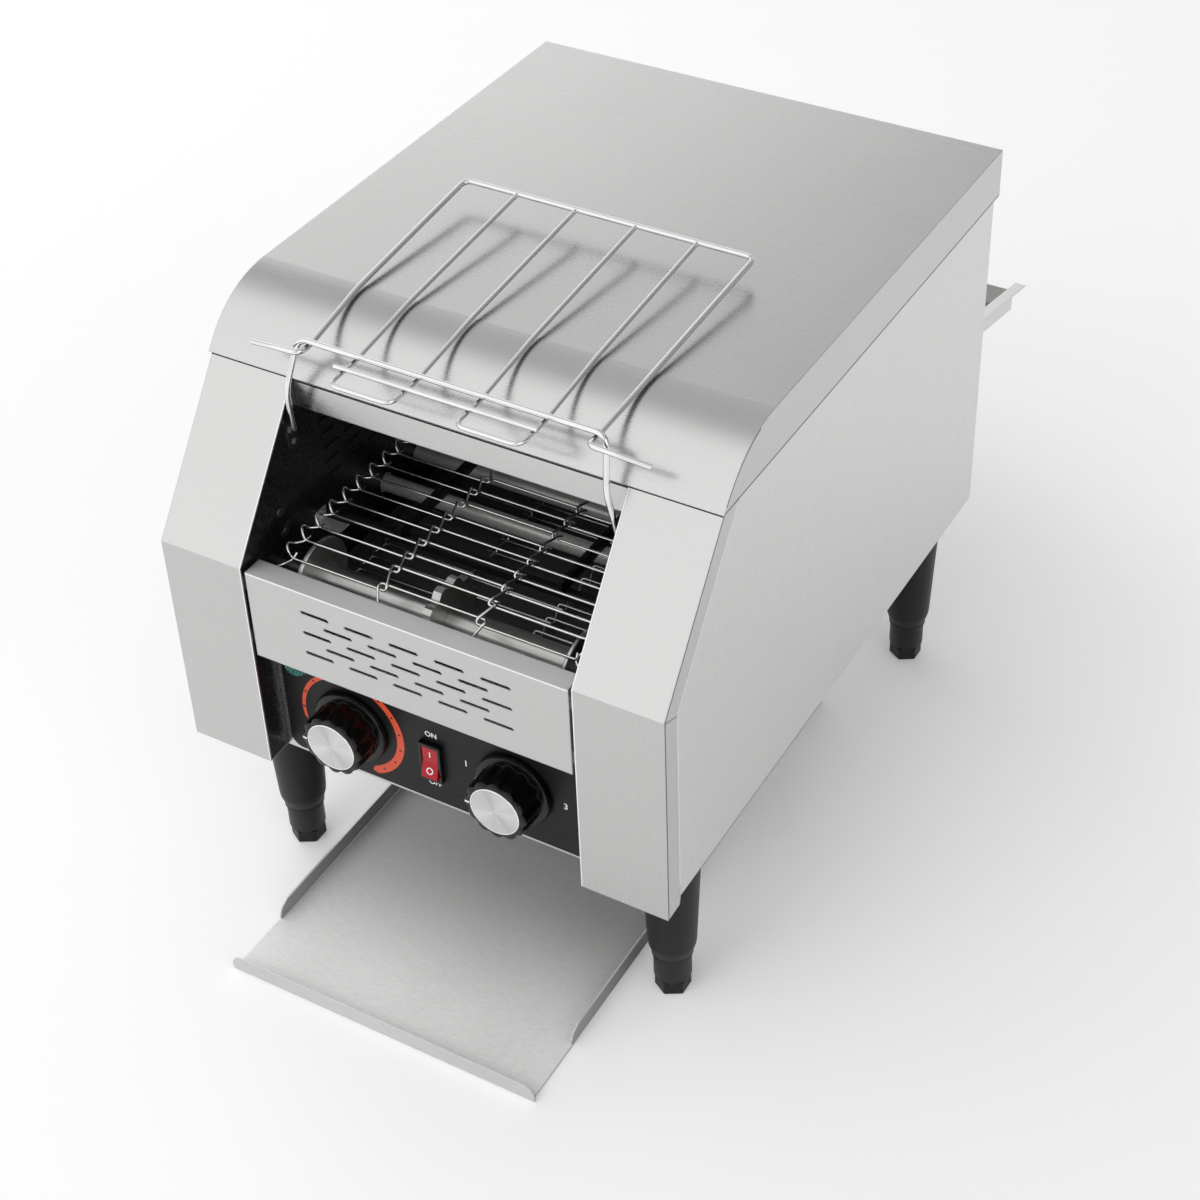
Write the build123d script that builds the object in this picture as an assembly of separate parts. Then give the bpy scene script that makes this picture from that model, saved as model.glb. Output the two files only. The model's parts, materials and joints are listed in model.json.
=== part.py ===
"""Conveyor toaster: sheet-metal body, flat-flex wire belt on two sprocket shafts, wire rack and toast trays.

Frame: millimetres, X to the right seen from the front, Y to the back, Z up.  The origin is on the floor
under the middle of the overall box.  One STEP file is written per separate piece.
"""
import math
import os

from build123d import (Axis, Box, Compound, Cylinder, Face, Line, Plane, Polyline, Pos, RegularPolygon, Rot,
                       Solid, ThreePointArc, Transition, Vector, Wire, export_step, extrude, make_face, sweep)

# ---------------------------------------------------------------- driving sizes
WIDTH = 365.0                 # over the cover's side flanges
COVER_TOP = 435.0             # floor to the flat of the cover
DEPTH = 735.0                 # front lip of the toast tray to the tip of the rear catch tray
SHEET = 1.0                   # stainless sheet
BASE_SHEET = 1.2
BELT_PITCH = 15.0             # spacing of the belt strands
WIRE = 1.8                    # belt wire
ROD = 4.0                     # wire of the rack and its post
FIT = 0.2                     # clearance between parts that slip together
RUN = 0.05                    # radial play of a running fit

# ---------------------------------------------------------------- body outline in the YZ plane
COVER_HALF = WIDTH / 2
CHEEK_OUT = COVER_HALF - SHEET
SIDE_OUT = CHEEK_OUT - SHEET
SIDE_IN = SIDE_OUT - SHEET
CHEEK_WIDE = 61.8             # face of a cheek
MOUTH_HALF = CHEEK_OUT - CHEEK_WIDE
RETURN_DEPTH = 20.0           # cheeks' inward fold beside the mouth
WALL_IN = MOUTH_HALF + SHEET
WALL_OUT = WALL_IN + SHEET
BODY_BACK = 179.0
COVER_OVERHANG = 4.5
COVER_BACK = BODY_BACK + COVER_OVERHANG
BODY_BOTTOM = 139.6
SLOPE = math.radians(53.7)
KNEE_Y = -299.2
KNEE_Z = 298.4
SHOULDER_R = 76.0
COVER_PROUD = 4.24            # rise of the cover's slope over the cheeks' slope
SLOPE_TOP = COVER_TOP - SHOULDER_R * (1 - math.cos(SLOPE))
SHOULDER_Y = KNEE_Y + (SLOPE_TOP - KNEE_Z - COVER_PROUD) / math.tan(SLOPE) + SHOULDER_R * math.sin(SLOPE)
FLANGE_DROP = 35.3            # height of the cover's side flanges
SEAM_GAP = 1.1
SEAM_Z = COVER_TOP - FLANGE_DROP - SEAM_GAP
CHEEK_HANG = 5.2
CHEEK_BOTTOM = BODY_BOTTOM - CHEEK_HANG
LIP_DEPTH = 16.0              # cheek lip wrapped onto the side panel

# ---------------------------------------------------------------- front parts
GRILLE_HALF = MOUTH_HALF - 2.7
GRILLE_Y = KNEE_Y + 0.7
GRILLE_TALL = 67.7
GRILLE_HIGH = KNEE_Z - 1.9
GRILLE_LOW = GRILLE_HIGH - GRILLE_TALL
GRILLE_RETURN = 15.0
SLOT_LENGTH = 22.0
SLOT_HEIGHT = 2.8
SLOT_PITCH_X = 33.0
SLOT_PITCH_Z = 8.2
SLOT_ROWS = 5
SLOT_MIDDLE_Z = (GRILLE_LOW + GRILLE_HIGH) / 2 + 1.15
PANEL_SET_BACK = 19.7
PANEL_Y = KNEE_Y + PANEL_SET_BACK
PANEL_HALF = MOUTH_HALF - FIT
PANEL_TOP = GRILLE_LOW + 2.7
OVERLAY = 0.5
OVERLAY_LEFT = MOUTH_HALF - 4.2
OVERLAY_RIGHT = MOUTH_HALF - 3.7
OVERLAY_CORNER = 10.0
FASCIA_Y = SHOULDER_Y - 62.0
FASCIA_TALL = 20.0
FASCIA_HIGH = SEAM_Z - 1.6
FASCIA_LOW = FASCIA_HIGH - FASCIA_TALL
KNOB_X = 62.0
KNOB_Z = PANEL_TOP - 54.5
KNOB_REACH = 25.0
KNOB_SHAFT_R = 3.0
SKIRT_R = 27.5
GRIP_R = 22.5
CAP_R = 18.0
LAMP_X = 19.7 - MOUTH_HALF
LAMP_Z = PANEL_TOP - 15.5
ROCKER_Z = KNOB_Z - 4.0
ROCKER_TILT = 7.0
SWITCH_HALF = 7.0
SWITCH_TALL = 14.5
LAMP_R = 7.0

# ---------------------------------------------------------------- conveyor
TEETH = 12
PITCH_R = BELT_PITCH / 2 / math.sin(math.pi / TEETH)
STRAIGHTS = 23                # pitches between the two axes
AXLE_Z = KNEE_Z - 32.4
IDLER_Y = KNEE_Y + 48.7
DRIVE_Y = IDLER_Y + STRAIGHTS * BELT_PITCH
STRANDS = 2 * STRAIGHTS + TEETH
HOOK = 2.2                    # how far a strand's rods stand outside its own pitch
SLANT = 3.0                   # sideways lean of each Z bend
JUMP = 2.1                    # rise of a Z bend over its neighbour's rods
BEND_X = 36.0                 # inner Z bends
EDGE_X = MOUTH_HALF - 13.7    # hooked ends
SPROCKET_X = EDGE_X - 18.0    # outer belt sprockets
SPROCKET_WIDE = 6.0
SPROCKET_ROOT = 27.7
SPROCKET_TIP = 31.2
DISC_X = EDGE_X - 9.0          # smooth end discs of the front roller
DISC_WIDE = 3.0
AXLE_R = 5.0
AXLE_END = WALL_OUT + 9.3
BEARING_HALF = 14.0
CHAIN_PITCH = 9.525
CHAIN_TEETH = 14
CHAIN_R = CHAIN_PITCH / 2 / math.sin(math.pi / CHAIN_TEETH)
CHAIN_SPANS = 11              # pitches between the two chain sprockets
CHAIN_DROP = math.radians(35)
CHAIN_X = SIDE_IN - 18.5
CHAIN_TOOTH_WIDE = 4.0
MOTOR_Y = DRIVE_Y - CHAIN_SPANS * CHAIN_PITCH * math.cos(CHAIN_DROP)
MOTOR_Z = AXLE_Z - CHAIN_SPANS * CHAIN_PITCH * math.sin(CHAIN_DROP)
MOTOR_PLATE = 2.3
MOTOR_IN = WALL_OUT + MOTOR_PLATE
MOTOR_OUT = CHAIN_X - 5.0
TUBE_R = 6.0
LOWER_TUBES = [IDLER_Y + step for step in (107.5, 147.5, 227.5, 267.5)]
UPPER_TUBES = [IDLER_Y + step for step in (87.5, 147.5, 207.5, 267.5)]
LOWER_Z = AXLE_Z - 4.0
UPPER_Z = COVER_TOP - 65.0
HOLDER_DEEP = 12.0
BLANKET = 20.0                # insulation over the upper reflector
BLANKET_Z = COVER_TOP - 35.0
FAN_HALF = 25.0
FAN_X = 32.0 - COVER_HALF
FAN_Z = BODY_BOTTOM + 45.4
GLAND_X = 22.5 - COVER_HALF
GLAND_Z = FAN_Z + 41.0
GLAND_R = 10.0
GLAND_BORE = 4.5

# ---------------------------------------------------------------- rack and post
BAR_Y = SHOULDER_Y - 66.0
BAR_Z = COVER_TOP - 2.0
BAR_HALF = MOUTH_HALF - 11.7
BAR_BEND = 5.0                # cut from each side of the bar's corners
HOOK_X = BAR_HALF - BAR_BEND - 2.0   # where the rack's sides pass under the bar
RACK_HALF = BAR_HALF - 1.0
RACK_BACK_Y = SHOULDER_Y + 121.5
RACK_BACK_Z = COVER_TOP + 14.0
RACK_FRONT_Y = BAR_Y - 27.5
RACK_LEAN_Y = SHOULDER_Y - 8.5   # where the wires lean over the cover's shoulder
HOOK_REACH = BAR_HALF + 32.0
RACK_SPACING = 44.4

# ---------------------------------------------------------------- trays and legs
TRAY_FRONT = -DEPTH / 2
TRAY_HALF = MOUTH_HALF - 2.1
TRAY_BACK = 60.0
TRAY_LIP = 12.0
TRAY_SIDE = 13.0
TRAY_SIDE_START = TRAY_FRONT + 50.0
REAR_OPENING_LOW = AXLE_Z - 8.0
REAR_OPENING_HIGH = AXLE_Z + 64.0
CATCH_HALF = MOUTH_HALF + 17.3
CATCH_FALL = 0.209            # drop per millimetre to the back
CATCH_DEEP = 22.5
CATCH_FLOOR = REAR_OPENING_LOW - CATCH_DEEP - 4.56 + CATCH_FALL * BODY_BACK   # floor's plane at Y = 0
CATCH_TIP = DEPTH / 2
CATCH_BACK = CATCH_TIP - 7.0
CATCH_FLANGE = 8.0
LEG_X = COVER_HALF - 32.5
LEG_Y = (KNEE_Y + 60.2, BODY_BACK - 35.5)
LEG_TOP_R = 20.5
LEG_LOW_R = 16.0
LEG_SHOULDER = 38.0
LEG_END = 34.0
FOOT_R = 13.0
FOOT_HEX = 10.0
FOOT_TOP = 62.0


# ---------------------------------------------------------------- small helpers
def block(x0, x1, y0, y1, z0, z1):
    """A box between two corners."""
    return Pos((x0 + x1) / 2, (y0 + y1) / 2, (z0 + z1) / 2) * Box(x1 - x0, y1 - y0, z1 - z0)


def prism(points, axis, low, high):
    """Polygon extruded along an axis; points give the other two coordinates in XYZ order."""
    place = {"X": lambda a, b: (low, a, b), "Y": lambda a, b: (a, low, b), "Z": lambda a, b: (a, b, low)}[axis]
    way = {"X": Vector(1, 0, 0), "Y": Vector(0, 1, 0), "Z": Vector(0, 0, 1)}[axis]
    face = Face(Wire.make_polygon([place(a, b) for a, b in points], close=True))
    return Solid.extrude(face, way * (high - low))


def rod(axis, radius, centre, low, high):
    """Round bar along an axis; centre gives the other two coordinates in XYZ order."""
    middle = (low + high) / 2
    a, b = centre
    at = {"X": (middle, a, b), "Y": (a, middle, b), "Z": (a, b, middle)}[axis]
    turn = {"X": Rot(0, 90, 0), "Y": Rot(90, 0, 0), "Z": Rot(0, 0, 0)}[axis]
    return Pos(*at) * turn * Cylinder(radius, high - low)


def section(radius, centre, sides):
    """Corners of a regular polygon on a circle."""
    turns = [2 * math.pi * (k + 0.5) / sides for k in range(sides)]
    return [(centre[0] + radius * math.cos(t), centre[1] + radius * math.sin(t)) for t in turns]


def bar(axis, radius, centre, low, high, sides=12):
    """Many-sided bar, its corners on the radius; centre as for rod."""
    return prism(section(radius, centre, sides), axis, low, high)


def bore(axis, radius, centre, low, high, sides=12):
    """Many-sided cutter, its flats on the radius, so that a round bar of that radius fits inside."""
    return bar(axis, radius / math.cos(math.pi / sides), centre, low, high, sides)


def frustum(centre, low, high, low_r, high_r, sides=12):
    """Many-sided cone stump along Z, its flats on the radii."""
    loops = []
    for radius, z in ((low_r, low), (high_r, high)):
        corners = section(radius / math.cos(math.pi / sides), centre, sides)
        loops.append(Wire.make_polygon([(a, b, z) for a, b in corners], close=True))
    return Solid.make_loft(loops, True)


def span(side, near, far):
    """Range between two distances from the middle, on the side given by +1 or -1."""
    return sorted((side * near, side * far))


def eased(points, reach):
    """The polyline with each inner corner replaced by two points at the reach from it."""
    line = [Vector(*p) for p in points]
    made = [line[0]]
    for before, corner, after in zip(line, line[1:], line[2:]):
        made.append(corner + (before - corner).normalized() * reach)
        made.append(corner + (after - corner).normalized() * reach)
    return made + [line[-1]]


def wire_along(points, radius=1.05 * ROD / 2, sides=6):
    """Bent wire along a polyline with mitred corners, many-sided in section."""
    line = [Vector(*p) for p in points]
    profile = Plane(origin=line[0], z_dir=line[1] - line[0]) * RegularPolygon(radius, sides)
    return sweep(profile, path=Polyline(*line), transition=Transition.RIGHT)


def fuse(first, *others):
    """Union of overlapping pieces of one part."""
    return first.fuse(*others)


def both_sides(shape):
    """The shape mirrored to the other side of the machine."""
    return shape.mirror(Plane.YZ)


def front_line(inset, low, high):
    """Front outline, bottom to top, moved inward by inset and cut at two heights."""
    step = inset * (1 - math.sin(SLOPE)) / math.cos(SLOPE)
    knee = KNEE_Z - inset * math.cos(SLOPE) + step * math.sin(SLOPE)
    y = KNEE_Y + inset
    return [(y, low), (y, knee), (y + (high - knee) / math.tan(SLOPE), high)]


def front_band(inner, outer, low, high):
    """Closed band between two insets of the front outline."""
    return front_line(outer, low, high) + front_line(inner, low, high)[::-1]


def shoulder_points(inset, steps=6):
    """Points along the cover's curved shoulder, from its flat down to the seam."""
    radius = SHOULDER_R - inset
    centre_z = COVER_TOP - SHOULDER_R
    turns = [SLOPE * k / steps for k in range(steps + 1)]
    return [(SHOULDER_Y - radius * math.sin(a), centre_z + radius * math.cos(a)) for a in turns]


def body_side(inset_front, inset_top, back, bottom):
    """Side outline of the body under the cover: front, shoulder, top, back."""
    front = front_line(inset_front, bottom, SEAM_Z)
    curve = shoulder_points(inset_top)[::-1]
    return front + curve + [(back, COVER_TOP - inset_top), (back, bottom)]


def cover_face(inset, bottom_inset):
    """Face of the cover's side outline down to the lower edge of its flanges."""
    radius = SHOULDER_R - inset
    centre_z = COVER_TOP - SHOULDER_R
    top = COVER_TOP - inset
    low = COVER_TOP - FLANGE_DROP + bottom_inset
    end = (SHOULDER_Y - radius * math.sin(SLOPE), centre_z + radius * math.cos(SLOPE))
    half = (SHOULDER_Y - radius * math.sin(SLOPE / 2), centre_z + radius * math.cos(SLOPE / 2))
    tip = (end[0] - (end[1] - low) / math.tan(SLOPE), low)
    edges = [Line((COVER_BACK - inset, low), (COVER_BACK - inset, top)),
             Line((COVER_BACK - inset, top), (SHOULDER_Y, top)),
             ThreePointArc((SHOULDER_Y, top), half, end),
             Line(end, tip),
             Line(tip, (COVER_BACK - inset, low))]
    return make_face(edges)


# ---------------------------------------------------------------- sheet-metal body
def top_cover():
    """Cover with a rolled front shoulder, side flanges and a short rear flange."""
    outer = extrude(Plane.YZ.offset(-COVER_HALF) * cover_face(0, 0), amount=2 * COVER_HALF)
    inner = extrude(Plane.YZ.offset(-CHEEK_OUT) * cover_face(SHEET, -5.0), amount=2 * CHEEK_OUT)
    below = block(-CHEEK_OUT, CHEEK_OUT, COVER_BACK - 2, COVER_BACK + 1, COVER_TOP - 55, COVER_TOP - 12)
    return outer - inner - below


def side_panel():
    """Flat side of the body with inward flanges along its top and back."""
    top = COVER_TOP - SHEET
    plate = prism(body_side(SHEET + FIT, SHEET, BODY_BACK, BODY_BOTTOM), "X", SIDE_IN, SIDE_OUT)
    roof = block(SIDE_IN - 12, SIDE_IN + SHEET / 2, SHOULDER_Y, BODY_BACK - 20, top - SHEET, top)
    return fuse(plate, roof)


def cheek():
    """Bent front cheek: face, outer lip on the side panel, inner return and a bottom hem."""
    hem_y = KNEE_Y + LIP_DEPTH
    face = prism(front_band(0, SHEET, CHEEK_BOTTOM, SEAM_Z), "X", MOUTH_HALF, CHEEK_OUT)
    lip = prism(front_band(0.5, LIP_DEPTH, BODY_BOTTOM, SEAM_Z), "X", SIDE_OUT, CHEEK_OUT)
    toe = [(KNEE_Y + 0.5, CHEEK_BOTTOM), (hem_y - 1.3, CHEEK_BOTTOM + 0.6), (hem_y, BODY_BOTTOM),
           (KNEE_Y + 0.5, BODY_BOTTOM)]
    low = prism(toe, "X", SIDE_OUT, CHEEK_OUT)
    inside = prism(front_band(0.5, RETURN_DEPTH, CHEEK_BOTTOM, SEAM_Z), "X", MOUTH_HALF, WALL_IN)
    hem = block(WALL_IN - 0.5, SIDE_OUT + 0.5, KNEE_Y + 0.5, hem_y - 2, CHEEK_BOTTOM, CHEEK_BOTTOM + SHEET)
    relief = Pos(CHEEK_OUT, KNEE_Y + 9, KNEE_Z - 4) * Rot(-20, 0, 0) * Box(2.4, 19, 1.0)
    whole = fuse(face, lip, low, inside, hem)
    return whole - (relief & block(SIDE_OUT - 0.1, CHEEK_OUT + 1, KNEE_Y + SHEET, KNEE_Y + 30, KNEE_Z - 18,
                                   KNEE_Z + 12))


def inner_wall(bores):
    """Black wall between the toasting tunnel and a side compartment, pierced for axles and tubes."""
    plate = prism(body_side(SHEET + FIT, SHEET, BODY_BACK - SHEET, BODY_BOTTOM + BASE_SHEET), "X",
                  WALL_IN, WALL_OUT)
    foot = block(WALL_OUT - SHEET / 2, WALL_OUT + 14, IDLER_Y + 50.5, BODY_BACK - 59, BODY_BOTTOM + BASE_SHEET,
                 BODY_BOTTOM + BASE_SHEET + SHEET)
    holes = [bore("X", radius, (y, z), WALL_IN - 1, WALL_OUT + 1, 6) for radius, y, z in bores]
    return fuse(plate, foot).cut(*holes)


def wall_bores():
    """Holes of an inner wall: two axles and the heating tubes."""
    bores = [(AXLE_R + 2, IDLER_Y, AXLE_Z), (AXLE_R + 2, DRIVE_Y, AXLE_Z)]
    bores += [(TUBE_R + 1, y, LOWER_Z) for y in LOWER_TUBES]
    bores += [(TUBE_R + 1, y, UPPER_Z) for y in UPPER_TUBES]
    return bores


def base_plate():
    """Bottom of the body, open over the tray, with upturned sides."""
    half = SIDE_IN
    low = BODY_BOTTOM
    plate = block(-half, half, PANEL_Y + 1.2, BODY_BACK - SHEET, low, low + BASE_SHEET)
    drop = block(1.7 - MOUTH_HALF, MOUTH_HALF - 1.7, IDLER_Y + 104, BODY_BACK - 5, low - 1, low + 2)
    plate = plate - drop
    for side in (-1, 1):
        edge = span(side, half, half - BASE_SHEET)
        plate = fuse(plate, block(*edge, KNEE_Y + 37.2, BODY_BACK - 29, low + BASE_SHEET / 2, low + 14))
    vents = []
    for x in (-LEG_X, LEG_X):
        for k in range(5):
            y = BODY_BACK - 239 + 18 * k
            vents.append(block(x - 14, x + 14, y, y + 4, low - 1, low + 2))
    return plate.cut(*vents)


def rear_panel():
    """Back of the body with the discharge opening, cooling slots and the cord hole."""
    half = SIDE_IN
    plate = block(-half, half, BODY_BACK - SHEET, BODY_BACK, BODY_BOTTOM, COVER_TOP - SHEET)
    back = (BODY_BACK - 9, BODY_BACK + 11)
    cuts = [block(0.7 - MOUTH_HALF, MOUTH_HALF - 0.7, *back, REAR_OPENING_LOW, REAR_OPENING_HIGH),
            bore("Y", GLAND_R + FIT, (GLAND_X, GLAND_Z), *back, 8)]
    for side in (-1, 1):
        edge = span(side, half, half - SHEET)
        plate = fuse(plate, block(*edge, BODY_BACK - 19, BODY_BACK - SHEET / 2, BODY_BOTTOM + 20, COVER_TOP - 15))
        for k in range(6):
            z = COVER_TOP - 85 + 9 * k
            cuts.append(block(side * LEG_X - 16, side * LEG_X + 16, *back, z, z + 4))
    for k in range(6):
        x = FAN_X - 21.5 + 7.6 * k
        cuts.append(block(x, x + 4, *back, FAN_Z - 22, FAN_Z + 22))
    return plate.cut(*cuts)


def opening_fascia():
    """Channel across the top of the feed mouth."""
    half = PANEL_HALF
    face = block(-half, half, FASCIA_Y, FASCIA_Y + SHEET, FASCIA_LOW, FASCIA_HIGH)
    roof = block(-half, half, FASCIA_Y + 0.5, FASCIA_Y + 22, FASCIA_HIGH - SHEET, FASCIA_HIGH)
    sill = block(-half, half, FASCIA_Y + 0.5, FASCIA_Y + 14, FASCIA_LOW, FASCIA_LOW + SHEET)
    tab = block(half - SHEET, half, FASCIA_Y + 0.5, FASCIA_Y + 14, FASCIA_LOW, FASCIA_HIGH)
    return fuse(face, roof, sill, tab, both_sides(tab))


def front_grille():
    """Slotted guard in front of the belt's nose, folded back on all four sides."""
    back = GRILLE_Y + GRILLE_RETURN
    panel = block(-GRILLE_HALF, GRILLE_HALF, GRILLE_Y, back, GRILLE_LOW, GRILLE_HIGH)
    panel = panel - block(-GRILLE_HALF + SHEET, GRILLE_HALF - SHEET, GRILLE_Y + SHEET, back + 1,
                          GRILLE_LOW + SHEET, GRILLE_HIGH - SHEET)
    for z in (GRILLE_LOW + 11.2, GRILLE_HIGH - 12.5):
        for side in (-1, 1):
            edge = span(side, GRILLE_HALF - SHEET / 2, MOUTH_HALF)
            panel = fuse(panel, block(*edge, GRILLE_Y + 3, GRILLE_Y + 13, z - 5, z + 5))
    slots = []
    for row in range(SLOT_ROWS):
        z = SLOT_MIDDLE_Z + (row - 2) * SLOT_PITCH_Z
        count = 5 if row % 2 == 0 else 4
        for k in range(count):
            x = (k - (count - 1) / 2) * SLOT_PITCH_X
            a = SLOT_LENGTH / 2
            b = SLOT_HEIGHT / 2
            shape = [(x - a, z), (x - a + b, z - b), (x + a - b, z - b), (x + a, z), (x + a - b, z + b),
                     (x - a + b, z + b)]
            slots.append(prism(shape, "Y", GRILLE_Y - 1, GRILLE_Y + SHEET + 1))
    return panel.cut(*slots)


def control_panel():
    """Recessed stainless control panel with a bottom fold and holes for its controls."""
    plate = block(-PANEL_HALF, PANEL_HALF, PANEL_Y, PANEL_Y + SHEET, CHEEK_BOTTOM, PANEL_TOP)
    fold = block(-PANEL_HALF, PANEL_HALF, PANEL_Y + 0.5, PANEL_Y + 14, CHEEK_BOTTOM, CHEEK_BOTTOM + SHEET)
    return cut_controls(fuse(plate, fold))


def control_overlay():
    """Black label sheet on the control panel."""
    sheet = block(-OVERLAY_LEFT, OVERLAY_RIGHT, PANEL_Y - OVERLAY, PANEL_Y, CHEEK_BOTTOM + 6.6, PANEL_TOP - 3.5)
    edges = sheet.edges().filter_by(Axis.Y).sort_by(Axis.Z)[:2]
    return cut_controls(sheet.fillet(OVERLAY_CORNER, edges))


def cut_controls(plate):
    """Holes for the two knob shafts, the rocker switch and the pilot lamp."""
    y0 = PANEL_Y - 2
    y1 = PANEL_Y + 3
    holes = [bore("Y", KNOB_SHAFT_R + 1, (x, KNOB_Z), y0, y1, 6) for x in (-KNOB_X, KNOB_X)]
    holes.append(block(-SWITCH_HALF - FIT, SWITCH_HALF + FIT, y0, y1, ROCKER_Z - SWITCH_TALL - FIT,
                       ROCKER_Z + SWITCH_TALL + FIT))
    holes.append(bore("Y", LAMP_R + FIT, (LAMP_X, LAMP_Z), y0, y1))
    return plate.cut(*holes)


def control_shield():
    """Heat shield over and behind the control compartment."""
    deep = PANEL_Y + 63.5
    roof = block(-WALL_IN, WALL_IN, PANEL_Y + SHEET, deep, PANEL_TOP, PANEL_TOP + SHEET)
    back = block(-WALL_IN, WALL_IN, deep - SHEET, deep, BODY_BOTTOM + BASE_SHEET, PANEL_TOP + SHEET / 2)
    return fuse(roof, back)


# ---------------------------------------------------------------- belt and its drive
def loop_link(index):
    """Plane of one belt link: x along the width, y along travel, z outward, origin on its first joint."""
    def joint(k):
        k = k % STRANDS
        turn = math.pi / (TEETH / 2)
        if k <= STRAIGHTS:
            return (IDLER_Y + k * BELT_PITCH, AXLE_Z + PITCH_R)
        if k <= STRAIGHTS + TEETH // 2:
            a = math.pi / 2 - (k - STRAIGHTS) * turn
            return (DRIVE_Y + PITCH_R * math.cos(a), AXLE_Z + PITCH_R * math.sin(a))
        if k <= 2 * STRAIGHTS + TEETH // 2:
            return (DRIVE_Y - (k - STRAIGHTS - TEETH // 2) * BELT_PITCH, AXLE_Z - PITCH_R)
        a = -math.pi / 2 - (k - 2 * STRAIGHTS - TEETH // 2) * turn
        return (IDLER_Y + PITCH_R * math.cos(a), AXLE_Z + PITCH_R * math.sin(a))
    y0, z0 = joint(index)
    y1, z1 = joint(index + 1)
    return (y0, z0), ((y1 - y0) / BELT_PITCH, (z1 - z0) / BELT_PITCH)


def strand_path():
    """Half of a strand in link coordinates (x, travel, height), from its end to the middle run."""
    far = BELT_PITCH + HOOK
    near = -HOOK
    rise = 0.5
    pts = []
    for x in (EDGE_X, BEND_X):
        lean = SLANT / BELT_PITCH
        way = 1 if x == EDGE_X else -1
        z_bend = [(x - way * SLANT, far, 0), (x - way * SLANT * 0.9, BELT_PITCH - rise, JUMP),
                  (x + way * SLANT * 0.9, rise, JUMP), (x + way * SLANT, near, 0)]
        pts += z_bend if x == EDGE_X else z_bend[::-1]
    return pts


def belt_strand():
    """One wire of the flat-flex belt in link coordinates, three-sided in section with mitred bends."""
    half = strand_path()
    points = half + [(-x, s, h) for x, s, h in half[::-1]]
    start = Vector(*points[0])
    cut = Plane(origin=start, x_dir=Vector(1, 0, 0), z_dir=Vector(*points[1]) - start)
    corners = [cut.from_local_coords((a, b, 0)) for a, b in section(0.64 * WIRE, (0, 0), 3)]
    profile = Face(Wire.make_polygon(corners, close=True))
    return sweep(profile, path=Polyline(*points), transition=Transition.RIGHT)


def conveyor_belt():
    """All linked strands of the belt around both shafts."""
    strand = belt_strand()
    links = []
    for k in range(STRANDS):
        (y, z), (dy, dz) = loop_link(k)
        place = Plane(origin=(0, y, z), x_dir=Vector(1, 0, 0), z_dir=Vector(0, -dz, dy))
        links.append(place.location * strand.solids()[0])
    return Compound(children=links)


def belt_sprocket(x, y, phase):
    """Twelve-tooth wheel whose gullets hold the belt's rods."""
    step = 2 * math.pi / TEETH
    points = []
    for k in range(TEETH):
        middle = phase + (k + 0.5) * step
        for turn, radius in ((-0.17, SPROCKET_TIP), (0.17, SPROCKET_TIP), (0.5, SPROCKET_ROOT)):
            a = middle + turn * step
            points.append((y + radius * math.cos(a), AXLE_Z + radius * math.sin(a)))
    return prism(points, "X", x - SPROCKET_WIDE / 2, x + SPROCKET_WIDE / 2)


def rod_phase(x):
    """Angle of the belt's rods from a joint at the top of a shaft, for the run that crosses x."""
    lead = BELT_PITCH + HOOK if abs(x) < BEND_X else -HOOK
    reach = math.hypot(PITCH_R * math.cos(math.pi / TEETH), lead - BELT_PITCH / 2)
    aside = math.asin((lead - BELT_PITCH / 2) / reach)
    return math.pi / 2 - math.pi / TEETH - aside


def belt_shaft(y, tube_r, low, high, wheels_x):
    """Axle with a roller tube and its belt sprockets."""
    body = bar("X", AXLE_R, (y, AXLE_Z), low, high, 8)
    tube = bar("X", tube_r, (y, AXLE_Z), 8 - EDGE_X, EDGE_X - 8)
    wheels = [belt_sprocket(x, y, rod_phase(x)) for x in wheels_x]
    return fuse(body, tube, *wheels)


def idler_roller():
    """Front roller: toothed in the middle, with a smooth disc at each end."""
    shaft = belt_shaft(IDLER_Y, 11.0, -AXLE_END, AXLE_END, (0.0,))
    discs = [bar("X", SPROCKET_ROOT, (IDLER_Y, AXLE_Z), x - DISC_WIDE / 2, x + DISC_WIDE / 2, 24)
             for x in (-DISC_X, DISC_X)]
    return fuse(shaft, *discs)


def chain_wheel(y, z):
    """Chain sprocket plate."""
    step = 2 * math.pi / CHAIN_TEETH
    points = []
    for k in range(CHAIN_TEETH):
        middle = CHAIN_DROP + math.pi / 2 + (k + 0.5) * step
        for turn, radius in ((-0.28, CHAIN_R - 2.4), (-0.12, CHAIN_R + 1.6), (0.12, CHAIN_R + 1.6),
                             (0.28, CHAIN_R - 2.4)):
            a = middle + turn * step
            points.append((y + radius * math.cos(a), z + radius * math.sin(a)))
    return prism(points, "X", CHAIN_X, CHAIN_X + CHAIN_TOOTH_WIDE)


def drive_shaft():
    """Rear belt shaft, long enough on the right for its chain sprocket."""
    shaft = belt_shaft(DRIVE_Y, 10.0, -AXLE_END, CHAIN_X + 9, (-SPROCKET_X, 0.0, SPROCKET_X))
    hub = bar("X", 9.0, (DRIVE_Y, AXLE_Z), CHAIN_X - 6, CHAIN_X + 0.5, 8)
    return fuse(shaft, chain_wheel(DRIVE_Y, AXLE_Z), hub)


def motor_pinion():
    """Output shaft of the gear motor with its chain sprocket."""
    shaft = bar("X", 4.0, (MOTOR_Y, MOTOR_Z), MOTOR_OUT - 5.5, CHAIN_X + 9, 8)
    return fuse(shaft, chain_wheel(MOTOR_Y, MOTOR_Z))


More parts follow.
